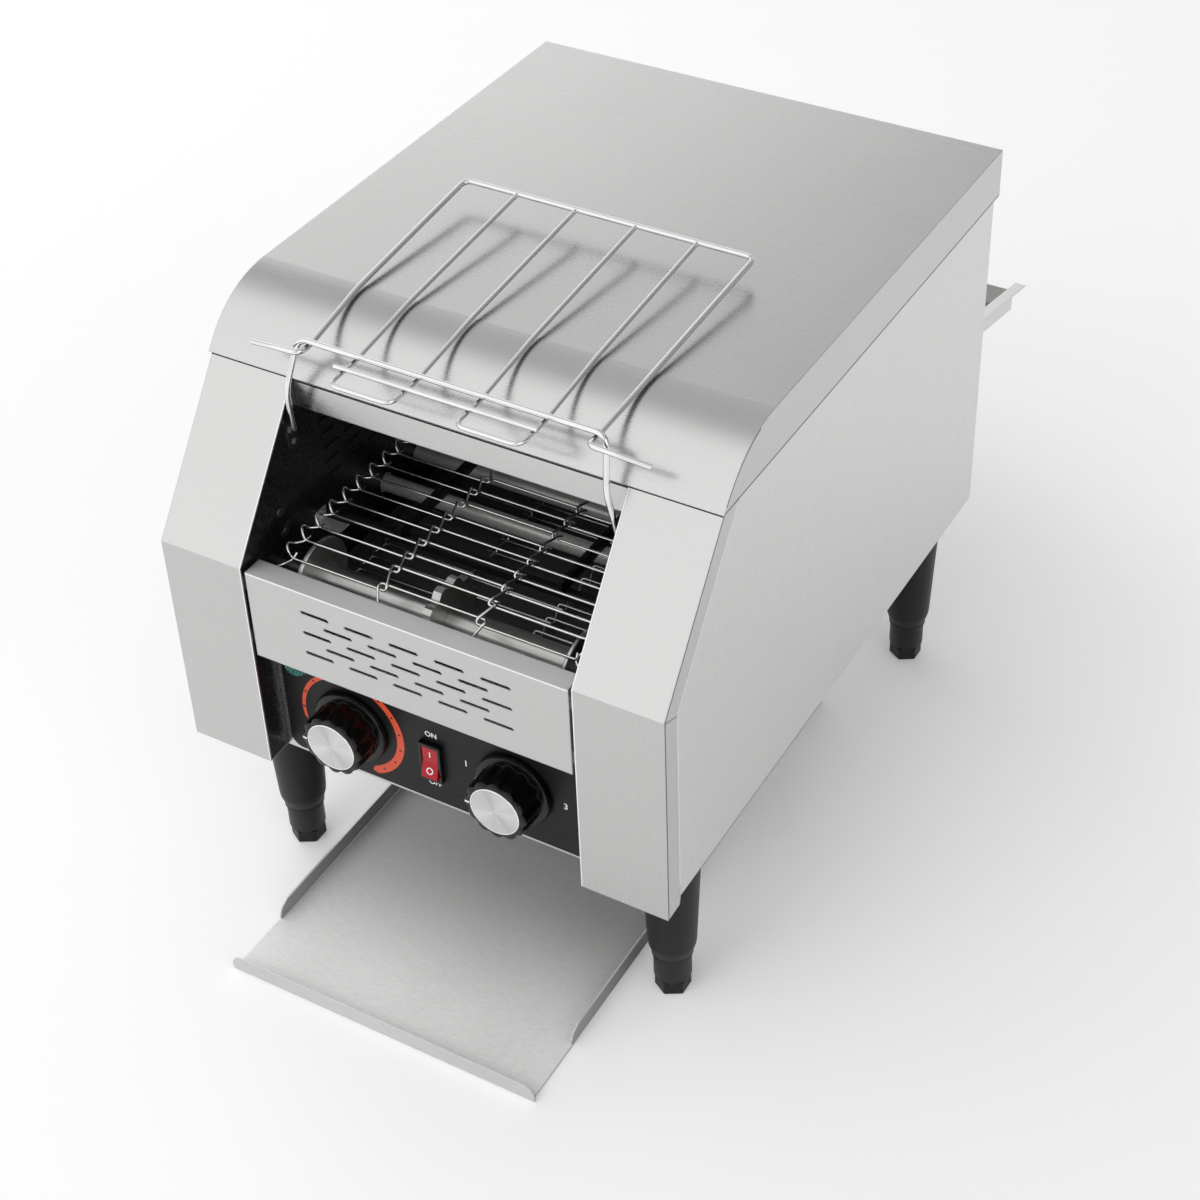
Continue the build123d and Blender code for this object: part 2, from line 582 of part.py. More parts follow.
def drive_chain():
    """Roller chain: two link rails and the pins between them."""
    reach = CHAIN_SPANS * CHAIN_PITCH
    away = (-math.cos(CHAIN_DROP), -math.sin(CHAIN_DROP))
    across = (away[1], -away[0])
    step = 2 * math.pi / CHAIN_TEETH
    half_turn = CHAIN_TEETH // 2

    def ring_points(radius):
        points = []
        for centre, spin in (((DRIVE_Y, AXLE_Z), 1), ((MOTOR_Y, MOTOR_Z), -1)):
            for k in range(half_turn + 1):
                a = math.pi / 2 - k * step
                u = -spin * math.cos(a)
                v = spin * math.sin(a)
                points.append((centre[0] + radius * (u * away[0] + v * across[0]),
                               centre[1] + radius * (u * away[1] + v * across[1])))
        return points

    def rail(low, high):
        outer = prism(ring_points(CHAIN_R + 3.6), "X", low, high)
        inner = prism(ring_points(CHAIN_R - 3.6), "X", low - 1, high + 1)
        return outer - inner

    pins = []
    for spin, centre in ((1, (DRIVE_Y, AXLE_Z)), (-1, (MOTOR_Y, MOTOR_Z))):
        for k in range(half_turn + 1):
            a = math.pi / 2 - k * step
            u = -spin * math.cos(a)
            v = spin * math.sin(a)
            pins.append((centre[0] + CHAIN_R * (u * away[0] + v * across[0]),
                         centre[1] + CHAIN_R * (u * away[1] + v * across[1])))
        for k in range(1, CHAIN_SPANS):
            u = k * CHAIN_PITCH
            pins.append((centre[0] + spin * u * away[0] + spin * CHAIN_R * across[0],
                         centre[1] + spin * u * away[1] + spin * CHAIN_R * across[1]))
    low = CHAIN_X - 1.1
    high = CHAIN_X + CHAIN_TOOTH_WIDE + 1.1
    bars = [bar("X", 1.7, pin, low, high, 3) for pin in pins]
    return fuse(rail(low - 0.8, low + 0.1), rail(high - 0.1, high + 0.8), *bars)


def axle_bearing(y, side):
    """Flanged bush on the outside of an inner wall."""
    half = BEARING_HALF
    plate = block(*span(side, WALL_OUT, WALL_OUT + 6), y - half, y + half, AXLE_Z - half, AXLE_Z + half)
    boss = bar("X", 9.5, (y, AXLE_Z), *span(side, WALL_OUT + 5.5, WALL_OUT + 9), 8)
    return fuse(plate, boss) - bore("X", AXLE_R + RUN, (y, AXLE_Z), *span(side, WALL_IN, WALL_OUT + 20), 8)


def belt_rails():
    """Skid rails that carry the upper run of the belt, on two cross bars clipped to the walls."""
    top = AXLE_Z + PITCH_R - WIRE / 2 - 0.6
    ends = (IDLER_Y + 36.5, DRIVE_Y - 36.5)
    rails = [block(x - 2, x + 2, *ends, top - 9, top) for x in (-60, 60)]
    bars = [block(-WALL_IN, WALL_IN, y - 3, y + 3, top - 15, top - 8) for y in (ends[0] + 6, ends[1] - 6)]
    shelf = block(-WALL_IN, 19.5 - WALL_IN, ends[0] - 8, ends[0] + 4, top - 15, top - 14)
    clip = fuse(shelf, block(-WALL_IN, 1 - WALL_IN, ends[0] - 8, ends[0] + 4, top - 15, top - 5))
    return fuse(rails[0], rails[1], *bars, clip, both_sides(clip))


def motor():
    """Gearbox and can of the drive motor."""
    box = block(MOTOR_IN, MOTOR_OUT, MOTOR_Y - 24, MOTOR_Y + 24, MOTOR_Z - 26, MOTOR_Z + 26)
    box = box - bore("X", 4.0 + RUN, (MOTOR_Y, MOTOR_Z), MOTOR_OUT - 6, MOTOR_OUT + 4, 8)
    can = bar("Y", 15.0, ((MOTOR_IN + MOTOR_OUT) / 2, MOTOR_Z), MOTOR_Y - 84, MOTOR_Y - 23.5)
    return fuse(box, can)


def motor_bracket():
    """Plate that carries the gear motor on the right inner wall."""
    low = BODY_BOTTOM + BASE_SHEET + SHEET
    plate = block(WALL_OUT, MOTOR_IN, MOTOR_Y - 34, MOTOR_Y + 34, low, MOTOR_Z + 34)
    return plate


# ---------------------------------------------------------------- heating and cooling
def heating_tubes(places, z):
    """Row of quartz tubes across the tunnel."""
    end = WALL_OUT + 7
    return Compound(children=[bore("X", TUBE_R, (y, z), -end, end, 8) for y in places])


def tube_holders(places, z):
    """Ceramic end holders of a row of tubes, on a strip outside each inner wall."""
    blocks = []
    for side in (-1, 1):
        for y in places:
            body = block(*span(side, WALL_OUT, WALL_OUT + HOLDER_DEEP), y - 9, y + 9, z - 10, z + 10)
            blocks.append(body - bore("X", TUBE_R, (y, z), *span(side, WALL_IN, WALL_OUT + 7), 8))
    return Compound(children=blocks)


def reflector(low_y, high_y, z, drop):
    """Bright tray that throws the heat onto the bread, folded along both walls."""
    sheet = block(-WALL_IN, WALL_IN, low_y, high_y, z, z + SHEET)
    fold = block(WALL_IN - SHEET, WALL_IN, low_y, high_y, min(z, z + drop), max(z, z + drop) + SHEET)
    return fuse(sheet, fold, both_sides(fold))


def insulation():
    """Blanket between the upper reflector and the cover."""
    return block(-WALL_IN + 2, WALL_IN - 2, SHOULDER_Y - 26.5, BODY_BACK - 39, BLANKET_Z, BLANKET_Z + BLANKET)


def fan_frame():
    """Square frame of the cooling fan on the rear panel, with its hub spokes."""
    x = FAN_X
    z = FAN_Z
    y1 = BODY_BACK - SHEET
    frame = block(x - FAN_HALF, x + FAN_HALF, y1 - 15, y1, z - FAN_HALF, z + FAN_HALF)
    frame = frame - bore("Y", FAN_HALF - 2, (x, z), y1 - 16, y1 + 1)
    hub = bar("Y", 9.0, (x, z), y1 - 3, y1, 8)
    reach = FAN_HALF - 1
    spokes = [block(x - reach, x + reach, y1 - 2, y1, z - 1.5, z + 1.5),
              block(x - 1.5, x + 1.5, y1 - 2, y1, z - reach, z + reach)]
    return fuse(frame, hub, *spokes)


def fan_rotor():
    """Hub and blades of the cooling fan."""
    y1 = BODY_BACK - SHEET
    rotor = bar("Y", 9.5, (FAN_X, FAN_Z), y1 - 14, y1 - 3.2, 8)
    blades = []
    for k in range(5):
        blade = Pos(14.5, 0, 0) * Rot(35, 0, 0) * Box(15, 1.2, 11)
        blades.append(Pos(FAN_X, y1 - 8.6, FAN_Z) * Rot(0, 72 * k, 0) * blade)
    return fuse(rotor, *blades)


def toast_chute():
    """Curved sheet that turns the toast from the belt's rear end down to the front tray."""
    half = MOUTH_HALF - 4.7
    outer_y = BODY_BACK - SHEET
    bend = 110.0
    stop = math.radians(64)
    centre = (outer_y - SHEET - bend, AXLE_Z - 91.0)
    steps = 7

    def line(radius):
        turns = [stop * k / steps for k in range(steps + 1)]
        curve = [(centre[0] + radius * math.cos(a), centre[1] - radius * math.sin(a)) for a in turns]
        fall = (curve[-1][1] - 1.8 - (bend + SHEET - radius) / math.sin(stop)) / math.cos(stop)
        end = (curve[-1][0] - fall * math.sin(stop), curve[-1][1] - fall * math.cos(stop))
        return [(centre[0] + radius, AXLE_Z - 16.0)] + curve + [end]

    sheet = prism(line(bend + SHEET) + line(bend)[::-1], "X", -half, half)
    side = []
    for s in (-1, 1):
        rim = prism(line(bend + SHEET) + line(bend - 9)[::-1], "X", *span(s, half, half - SHEET))
        side.append(rim)
    return fuse(sheet, *side)


# ---------------------------------------------------------------- controls
def knob(x, y_face):
    """Fluted knob on a round skirt, with its shaft."""
    skirt = bar("Y", SKIRT_R, (x, KNOB_Z), y_face - 5.0, y_face - 0.4, 18)
    front = y_face - KNOB_REACH + SHEET
    points = []
    for k in range(24):
        r = GRIP_R if k % 2 == 0 else GRIP_R - 2.0
        a = 2 * math.pi * k / 24
        points.append((x + r * math.cos(a), KNOB_Z + r * math.sin(a)))
    grip = prism(points, "Y", front, y_face - 4.5)
    shaft = bar("Y", KNOB_SHAFT_R, (x, KNOB_Z), y_face - 1, PANEL_Y + 9, 6)
    return fuse(skirt, grip, shaft)


def knob_cap(x, y_face):
    """Spun aluminium disc on the end of a knob."""
    front = y_face - KNOB_REACH
    return bar("Y", CAP_R, (x, KNOB_Z), front, front + SHEET, 18)


def knob_pointer(x, y_face):
    """White index line on the front rim of a knob's grip."""
    front = y_face - KNOB_REACH + SHEET
    return block(x - GRIP_R + 0.3, x - CAP_R - 0.2, front - 0.3, front, KNOB_Z - 0.8, KNOB_Z + 0.8)


def speed_controller():
    """Potentiometer and board of the belt speed control."""
    centre = (-KNOB_X, KNOB_Z)
    can = bar("Y", 10.0, centre, PANEL_Y + SHEET, PANEL_Y + 12)
    can = can - bore("Y", KNOB_SHAFT_R + RUN, centre, PANEL_Y, PANEL_Y + 10, 6)
    board = block(-KNOB_X - 26, -KNOB_X + 26, PANEL_Y + 11.5, PANEL_Y + 13.5, KNOB_Z - 27, KNOB_Z + 27)
    sink = block(-KNOB_X + 12, -KNOB_X + 24, PANEL_Y + 13, PANEL_Y + 31, KNOB_Z - 22, KNOB_Z + 18)
    return fuse(can, board, sink)


def selector_switch():
    """Three-position cam switch behind the selector knob."""
    body = block(KNOB_X - 16, KNOB_X + 16, PANEL_Y + SHEET, PANEL_Y + 38, KNOB_Z - 16, KNOB_Z + 16)
    return body - bore("Y", KNOB_SHAFT_R + RUN, (KNOB_X, KNOB_Z), PANEL_Y, PANEL_Y + 10, 6)


def rocker_housing():
    """Bezel and body of the mains rocker switch."""
    face = PANEL_Y - OVERLAY
    wide = SWITCH_HALF
    tall = SWITCH_TALL
    bezel = block(-wide - 1, wide + 1, face - 4, face, ROCKER_Z - tall - 1, ROCKER_Z + tall + 1)
    body = block(-wide, wide, face - 0.5, PANEL_Y + 20, ROCKER_Z - tall, ROCKER_Z + tall)
    well = block(0.8 - wide, wide - 0.8, face - 5, PANEL_Y + 9, ROCKER_Z - tall + 1.3, ROCKER_Z + tall - 1.3)
    return fuse(bezel, body) - well


def rocker():
    """Paddle of the rocker switch, tipped to its on side."""
    face = PANEL_Y - OVERLAY
    y = face + 1.5
    tall = SWITCH_TALL - 2.3
    shape = [(y - 6.4, ROCKER_Z - tall), (y - 4.8, ROCKER_Z), (y - 6.4, ROCKER_Z + tall),
             (y + 2.0, ROCKER_Z + tall), (y + 5.0, ROCKER_Z), (y + 2.0, ROCKER_Z - tall)]
    paddle = prism(shape, "X", 1.1 - SWITCH_HALF, SWITCH_HALF - 1.1)
    tipped = Pos(0, y, ROCKER_Z) * Rot(-ROCKER_TILT, 0, 0) * Pos(0, -y, -ROCKER_Z) * paddle
    return tipped


def pilot_lamp():
    """Faceted green lamp with its barrel behind the panel."""
    face = PANEL_Y - OVERLAY
    centre = (LAMP_X, LAMP_Z)
    flange = bar("Y", LAMP_R + 2, centre, face - 2.0, face)
    lens = bar("Y", LAMP_R + 0.5, centre, face - 4.0, face - 1.5)
    barrel = bar("Y", LAMP_R, centre, face - 0.5, PANEL_Y + 18)
    return fuse(flange, lens, barrel)


def terminal_block():
    """Mains terminals on the base plate of the left compartment."""
    low = BODY_BOTTOM + BASE_SHEET
    x = 17.5 - COVER_HALF
    y = BODY_BACK - 119
    body = block(x, x + 25, y, y + 70, low, low + 22)
    for k in range(4):
        body = body - block(x - 1, x + 5, y + 4 + 17 * k, y + 14 + 17 * k, low + 12, low + 23)
    return body


def cord_gland():
    """Cable gland in the rear panel, its bore open for the mains cord."""
    centre = (GLAND_X, GLAND_Z)
    barrel = bar("Y", GLAND_R, centre, BODY_BACK - 14, BODY_BACK + 2, 8)
    flange = bar("Y", GLAND_R + 3, centre, BODY_BACK, BODY_BACK + 5, 6)
    nut = bar("Y", GLAND_R - 2, centre, BODY_BACK + 4.5, BODY_BACK + 15, 8)
    return fuse(barrel, flange, nut) - rod("Y", GLAND_BORE, centre, BODY_BACK - 29, BODY_BACK + 41)


# ---------------------------------------------------------------- rack, post, trays and legs
def rack_post():
    """Goal-post wire with kinked legs, flattened and bolted to the mouth's side walls."""
    foot_x = MOUTH_HALF - 3.2
    kink = (BAR_HALF + 5, BAR_Y - 11, BAR_Z - 33)
    end = (foot_x, BAR_Y - 5, BAR_Z - 67)
    top = eased([(-kink[0], *kink[1:]), (-BAR_HALF, BAR_Y, BAR_Z), (BAR_HALF, BAR_Y, BAR_Z), kink], BAR_BEND)
    wire = wire_along([(-foot_x, *end[1:])] + top + [end])
    pads = [block(*span(side, foot_x - 1.5, MOUTH_HALF), BAR_Y - 11, BAR_Y + 1, BAR_Z - 81, BAR_Z - 63)
            for side in (-1, 1)]
    return fuse(wire, *pads)


def wire_rack():
    """Bread rack: bent frame, four inner wires joined in loops, a cross wire and two hooked ends."""
    under = BAR_Z - 4.4
    hook_x = HOOK_X
    rest_z = COVER_TOP + ROD / 2 + 0.4
    ahead = BAR_Y - 10.0
    side = [(hook_x + 3.5, RACK_LEAN_Y, rest_z), (hook_x, BAR_Y + 1.5, under), (hook_x, ahead, BAR_Z - 3.0),
            (hook_x + 16, ahead, BAR_Z - 3.5), (HOOK_REACH, ahead + 5.0, BAR_Z - 9.0)]
    back = [(RACK_HALF, RACK_BACK_Y - 6, RACK_BACK_Z - 0.6), (RACK_HALF - 6, RACK_BACK_Y, RACK_BACK_Z)]
    half = back[::-1] + side
    parts = [wire_along([(-x, y, z) for x, y, z in half[::-1]] + half)]
    front_z = BAR_Z - 4.3
    turn = 7.0
    for x0 in (-1.5 * RACK_SPACING, 0.5 * RACK_SPACING):
        x1 = x0 + RACK_SPACING
        leg = [(RACK_BACK_Y, RACK_BACK_Z), (RACK_LEAN_Y, rest_z), (BAR_Y, front_z), (RACK_FRONT_Y + turn, front_z)]
        loop = [(x0, *p) for p in leg] + [(x0 + turn, RACK_FRONT_Y, front_z), (x1 - turn, RACK_FRONT_Y, front_z)]
        parts.append(wire_along(loop + [(x1, *p) for p in leg[::-1]]))
    reach = 1.5 * RACK_SPACING + 5
    parts.append(bar("X", ROD / 2, (BAR_Y - 13, front_z + ROD - 0.7), -reach, reach - 2, 6))
    return fuse(parts[0], *parts[1:])


def toast_tray():
    """Flat tray on the floor with a front lip and two side flanges."""
    plate = block(-TRAY_HALF, TRAY_HALF, TRAY_FRONT, TRAY_BACK, 0, SHEET)
    lip_shape = [(-TRAY_HALF - 2, 0), (TRAY_HALF + 2, 0), (TRAY_HALF + 2, TRAY_LIP - 6), (TRAY_HALF, TRAY_LIP - 2),
                 (TRAY_HALF - 4, TRAY_LIP), (-TRAY_HALF + 4, TRAY_LIP), (-TRAY_HALF, TRAY_LIP - 2),
                 (-TRAY_HALF - 2, TRAY_LIP - 6)]
    lip = prism(lip_shape, "Y", TRAY_FRONT, TRAY_FRONT + SHEET)
    flange = [(TRAY_SIDE_START, 0), (TRAY_BACK, 0), (TRAY_BACK, TRAY_SIDE), (TRAY_SIDE_START + 10, TRAY_SIDE),
              (TRAY_SIDE_START + 2, TRAY_SIDE - 4), (TRAY_SIDE_START, TRAY_SIDE - 9)]
    right = prism(flange, "X", TRAY_HALF - SHEET, TRAY_HALF)
    return fuse(plate, lip, right, both_sides(right))


def rear_catch_tray():
    """Sloping channel behind the discharge opening, with outward flanges and an end lip."""
    front = BODY_BACK

    def floor(y):
        return CATCH_FLOOR - CATCH_FALL * y

    def band(y0, y1, low, high):
        return [(y0, floor(y0) + low), (y1, floor(y1) + low), (y1, floor(y1) + high), (y0, floor(y0) + high)]

    base = prism(band(front, CATCH_BACK, 0, SHEET), "X", -CATCH_HALF, CATCH_HALF)
    wall = prism(band(front, CATCH_BACK, SHEET / 2, CATCH_DEEP), "X", CATCH_HALF - SHEET, CATCH_HALF)
    flange = prism(band(front, CATCH_TIP, CATCH_DEEP - SHEET, CATCH_DEEP), "X", CATCH_HALF - SHEET,
                   CATCH_HALF + CATCH_FLANGE)
    head = prism(band(front, front + SHEET, 0.5, CATCH_DEEP), "X", -CATCH_HALF, CATCH_HALF)
    lip = prism(band(CATCH_BACK - SHEET, CATCH_BACK, 0.5, 18), "X", -CATCH_HALF, CATCH_HALF)
    return fuse(base, wall, both_sides(wall), flange, both_sides(flange), head, lip)


def leg(x, y):
    """Tapered leg, stepped at its lower end and bored for the levelling foot."""
    taper = frustum((x, y), LEG_SHOULDER, BODY_BOTTOM, LEG_LOW_R, LEG_TOP_R)
    step = frustum((x, y), LEG_END, LEG_SHOULDER, LEG_LOW_R - 1.5, LEG_LOW_R)
    return fuse(taper, step) - bore("Z", FOOT_R + RUN, (x, y), LEG_END - 1, FOOT_TOP + 3)


def foot(x, y):
    """Levelling foot: barrel in the leg and a hexagon to turn it by."""
    barrel = bore("Z", FOOT_R, (x, y), FOOT_HEX - 0.5, FOOT_TOP)
    nut = bar("Z", FOOT_R - 0.5, (x, y), 0, FOOT_HEX, 6)
    return fuse(barrel, nut)


# ---------------------------------------------------------------- all pieces
def pieces():
    """Every node of the part by name."""
    face = PANEL_Y - OVERLAY
    right_side = side_panel()
    right_cheek = cheek()
    right_wall = inner_wall(wall_bores())
    nodes = {
        "top_cover": top_cover(),
        "right_side_panel": right_side,
        "left_side_panel": both_sides(right_side),
        "right_cheek": right_cheek,
        "left_cheek": both_sides(right_cheek),
        "right_inner_wall": right_wall,
        "left_inner_wall": both_sides(right_wall),
        "base_plate": base_plate(),
        "rear_panel": rear_panel(),
        "opening_fascia": opening_fascia(),
        "front_grille": front_grille(),
        "control_panel": control_panel(),
        "control_overlay": control_overlay(),
        "control_shield": control_shield(),
        "conveyor_belt": conveyor_belt(),
        "drive_shaft": drive_shaft(),
        "idler_roller": idler_roller(),
        "motor_sprocket": motor_pinion(),
        "drive_chain": drive_chain(),
        "belt_rails": belt_rails(),
        "drive_motor": motor(),
        "motor_bracket": motor_bracket(),
        "lower_heating_tubes": heating_tubes(LOWER_TUBES, LOWER_Z),
        "upper_heating_tubes": heating_tubes(UPPER_TUBES, UPPER_Z),
        "lower_tube_holders": tube_holders(LOWER_TUBES, LOWER_Z),
        "upper_tube_holders": tube_holders(UPPER_TUBES, UPPER_Z),
        "lower_reflector": reflector(IDLER_Y + 45.5, DRIVE_Y - 44.5, AXLE_Z - 40, 8),
        "upper_reflector": reflector(SHOULDER_Y - 31.5, BODY_BACK - 29, BLANKET_Z - SHEET, -8),
        "insulation_blanket": insulation(),
        "fan_frame": fan_frame(),
        "fan_rotor": fan_rotor(),
        "toast_chute": toast_chute(),
        "speed_knob": knob(-KNOB_X, face),
        "speed_knob_cap": knob_cap(-KNOB_X, face),
        "speed_knob_pointer": knob_pointer(-KNOB_X, face),
        "selector_knob": knob(KNOB_X, face),
        "selector_knob_cap": knob_cap(KNOB_X, face),
        "selector_knob_pointer": knob_pointer(KNOB_X, face),
        "speed_controller": speed_controller(),
        "selector_switch": selector_switch(),
        "rocker_housing": rocker_housing(),
        "rocker": rocker(),
        "pilot_lamp": pilot_lamp(),
        "terminal_block": terminal_block(),
        "cord_gland": cord_gland(),
        "rack_post": rack_post(),
        "wire_rack": wire_rack(),
        "toast_tray": toast_tray(),
        "rear_catch_tray": rear_catch_tray(),
    }
    for end, y in (("front", IDLER_Y), ("rear", DRIVE_Y)):
        for name, side in (("left", -1), ("right", 1)):
            nodes[f"{end}_{name}_bearing"] = axle_bearing(y, side)
    legs = []
    for row, y in (("front", LEG_Y[0]), ("rear", LEG_Y[1])):
        for name, x in (("left", -LEG_X), ("right", LEG_X)):
            legs.append(leg(x, y))
            nodes[f"{row}_{name}_foot"] = foot(x, y)
    nodes["legs"] = Compound(children=legs)
    return nodes


os.makedirs("parts", exist_ok=True)
for node_name, node_shape in pieces().items():
    export_step(node_shape, f"parts/{node_name}.step")
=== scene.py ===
"""Conveyor toaster: materials, round wires, printed controls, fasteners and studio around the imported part.

All positions are in the row frame in millimetres (helpers turn them into metres): X to the right seen from
the front, Y to the back, Z up, origin on the floor.
"""

from __future__ import annotations

import json
import logging
import math
from dataclasses import dataclass, field
from enum import Enum
from typing import Callable, Iterable, Sequence

import bpy
from mathutils import Matrix, Quaternion, Vector

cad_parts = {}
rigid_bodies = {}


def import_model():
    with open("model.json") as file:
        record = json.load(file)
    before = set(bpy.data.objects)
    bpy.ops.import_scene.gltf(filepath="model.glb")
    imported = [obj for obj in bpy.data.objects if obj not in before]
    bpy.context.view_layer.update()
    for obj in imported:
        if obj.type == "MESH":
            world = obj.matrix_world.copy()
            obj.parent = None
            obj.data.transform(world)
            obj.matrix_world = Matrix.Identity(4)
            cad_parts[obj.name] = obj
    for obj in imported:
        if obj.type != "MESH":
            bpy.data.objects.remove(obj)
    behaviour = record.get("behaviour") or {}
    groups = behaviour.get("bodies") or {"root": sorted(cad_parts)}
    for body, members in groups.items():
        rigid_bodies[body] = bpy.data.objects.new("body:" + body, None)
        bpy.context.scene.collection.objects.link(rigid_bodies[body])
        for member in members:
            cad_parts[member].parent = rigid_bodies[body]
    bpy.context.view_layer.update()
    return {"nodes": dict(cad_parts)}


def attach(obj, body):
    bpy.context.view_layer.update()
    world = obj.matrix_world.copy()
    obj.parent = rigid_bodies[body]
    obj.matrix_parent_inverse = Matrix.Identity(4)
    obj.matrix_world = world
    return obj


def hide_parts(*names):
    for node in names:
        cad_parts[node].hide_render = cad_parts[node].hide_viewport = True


LOG = logging.getLogger("toaster")
MM = 0.001
WAYS = (-1, 1)                # left and right
NODE_SMOOTH_DEG = 28.0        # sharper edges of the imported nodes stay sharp
Point = tuple[float, float, float]
Pair = tuple[float, float]
Socket = bpy.types.NodeSocket


class Size:
    """Driving sizes of the toaster in millimetres, with Y and Z in pairs."""

    cover_top: float = 435.0
    cover_half: float = 182.5
    cover_back: float = 183.5
    flange_low: float = 399.7
    shoulder_y: float = -163.5
    shoulder_r: float = 76.0
    slope: float = 0.9400         # of the front, radians
    knee: Pair = (-299.2, 298.4)
    seam_z: float = 398.6
    cheek_low: float = 134.4
    cheek_out: float = 181.5
    mouth_half: float = 119.7
    wall: float = 120.7           # inner face of the black walls
    body_low: float = 139.6
    back: float = 179.0
    panel_y: float = -280.0
    overlay: Pair = (-115.5, 116.0)
    knob_x: float = 62.0
    knob_z: float = 177.0
    knob_front: float = -305.0
    rocker_z: float = 173.0
    lamp: Pair = (-100.0, 216.0)
    pitch: float = 15.0           # of the belt's strands
    teeth: int = 12
    straights: int = 23
    pitch_r: float = pitch / 2 / math.sin(math.pi / teeth)
    strands: int = 2 * straights + teeth
    axle_z: float = 266.0
    idler_y: float = -250.5
    drive_y: float = idler_y + straights * pitch
    hook: float = 2.2
    slant: float = 3.0
    bend_x: float = 36.0
    edge_x: float = 106.0
    belt_wire: float = 1.8
    rod: float = 4.0
    bar: Pair = (-229.5, 433.0)
    bar_half: float = 108.0


# ------------------------------------------------------------------ finishes
class Grain(Enum):
    """Direction or kind of a surface's fine texture."""

    NONE = "none"
    ALONG_X = "x"
    ALONG_Y = "y"
    ALONG_Z = "z"
    DOWN_FRONT = "down_front"
    SPUN = "spun"
    SPECKLE = "speckle"


@dataclass(frozen=True)
class Finish:
    """One surface finish.

    Args:
        name: Material name.
        colour: sRGB colour as a hex string.
        metallic: Metallic amount.
        roughness: Mean roughness.
        grain: Direction or kind of the fine texture.
        grain_mm: Length and width of one grain mark.
        relief: Strength of the grain in the surface normal.
        spread: How much the grain changes the roughness.
        tone: How much the grain changes the colour.
        edge_mm: Radius of the softened edges.
        anisotropy: Stretch of the highlight along the grain.
        glow: Strength of the light given off.
        coat: Clear coat amount.
        ior: Index of refraction; metals keep the default.
        specular: Specular level of a plastic or paint.
        painted_shading_by_facing: Painted shade and light: share of the colour left on faces that look to a
            side, to the front and up.
        lines: How dark the dark lines are that are painted along a wire where it looks down, back or to the
            left, a painted reflection.
        painted_shadow_ramp: Y where a painted shadow begins, Y where it is full, and the share of the colour
            left there.
    """

    name: str
    colour: str
    metallic: float = 0.0
    roughness: float = 0.4
    grain: Grain = Grain.NONE
    grain_mm: Pair = (1.0, 1.0)
    relief: float = 0.0
    spread: float = 0.0
    tone: float = 0.0
    edge_mm: float = 0.0
    anisotropy: float = 0.0
    glow: float = 0.0
    coat: float = 0.0
    ior: float = 1.5
    specular: float = 0.5
    # Painted shade and light: the colour is scaled by the way a face looks.
    painted_shading_by_facing: Point = (1.0, 1.0, 1.0)
    # Painted reflection: how dark the lines painted along wires are.
    lines: float = 0.0
    # Painted shadow: the colour is painted darker from one Y to another.
    painted_shadow_ramp: Point = (0.0, 1.0, 1.0)


# Stainless sheet 304, belt-ground in one direction. The scratches are about 0.05 mm wide and are drawn 0.3 mm
# wide to show. They draw every reflection out across the grain, so the sheet looks satin, not mirror-like.
BRUSHED = (30.0, 0.30)
# Faces of this sheet that look to a side or the front are painted darker, painted shade.
STEEL_X = Finish("stainless_ground_across", "#dadad9", 1.0, 0.27, Grain.ALONG_X, BRUSHED, 0.10, 0.07, 0.045,
                 1.0, painted_shading_by_facing=(0.84, 0.88, 1.0))
STEEL_Y = Finish("stainless_ground_lengthwise", "#d8d8d7", 1.0, 0.32, Grain.ALONG_Y, BRUSHED, 0.14, 0.07,
                 0.04, 0.6)
STEEL_Z = Finish("stainless_ground_upright", "#dadad9", 1.0, 0.30, Grain.ALONG_Z, BRUSHED, 0.14, 0.07, 0.04,
                 0.6)
# Faces of the cheeks that look to a side or the front are painted darker, painted shade.
STEEL_FRONT = Finish("stainless_ground_front", "#dadad9", 1.0, 0.30, Grain.DOWN_FRONT, BRUSHED, 0.11, 0.07,
                     0.04, 1.0, painted_shading_by_facing=(0.84, 0.82, 1.0))
# The same sheet on the slotted guard: faces that look up are painted lighter, a painted highlight of the
# light from above, and faces that look to a side or the front are painted darker, painted shade.
STEEL_GUARD = Finish("stainless_ground_guard", "#dededd", 0.85, 0.38, Grain.ALONG_X, BRUSHED, 0.12, 0.07,
                     0.05, 1.3, 0.8, painted_shading_by_facing=(0.9, 0.84, 1.36))
# Stainless sheet with a coarse short grit finish, as trays have: almost matt, with light and dark flecks.
# Its colour is painted darker towards the back, a painted shadow of the body. Faces of its flanges that
# look to a side or the front are painted darker, painted shade, and faces that look up are painted lighter,
# painted light. The flecks are drawn 0.9 mm wide to show.
STEEL_TRAY = Finish("stainless_grit_finish", "#fafaf9", 0.12, 0.46, Grain.ALONG_X, (7.0, 0.9), 0.32, 0.08,
                    0.22, 0.6, 0.9, painted_shading_by_facing=(0.50, 0.80, 1.18), painted_shadow_ramp=(-345.0, -195.0, 0.43))
# Mill-finish stainless and plated steel inside the body: dull grey, a little cloudy.
STEEL_PLAIN = Finish("stainless_mill_finish", "#b9b9b8", 1.0, 0.38, Grain.SPECKLE, (1.2, 1.2), 0.05, 0.06,
                     0.05, 0.4)
# Drawn wire, bright chrome plated: a mirror, so it shows thin light lines along its length. Dark lines are
# painted along it where it looks down, back or to the left, a painted reflection.
CHROME = Finish("chrome_plated_wire", "#ededee", 1.0, 0.12, lines=0.80)
# Drawn stainless wire of the belt: bright, with fainter dark lines painted along it, a painted reflection.
BELT_STEEL = Finish("stainless_drawn_wire", "#ececea", 1.0, 0.20, lines=0.55)
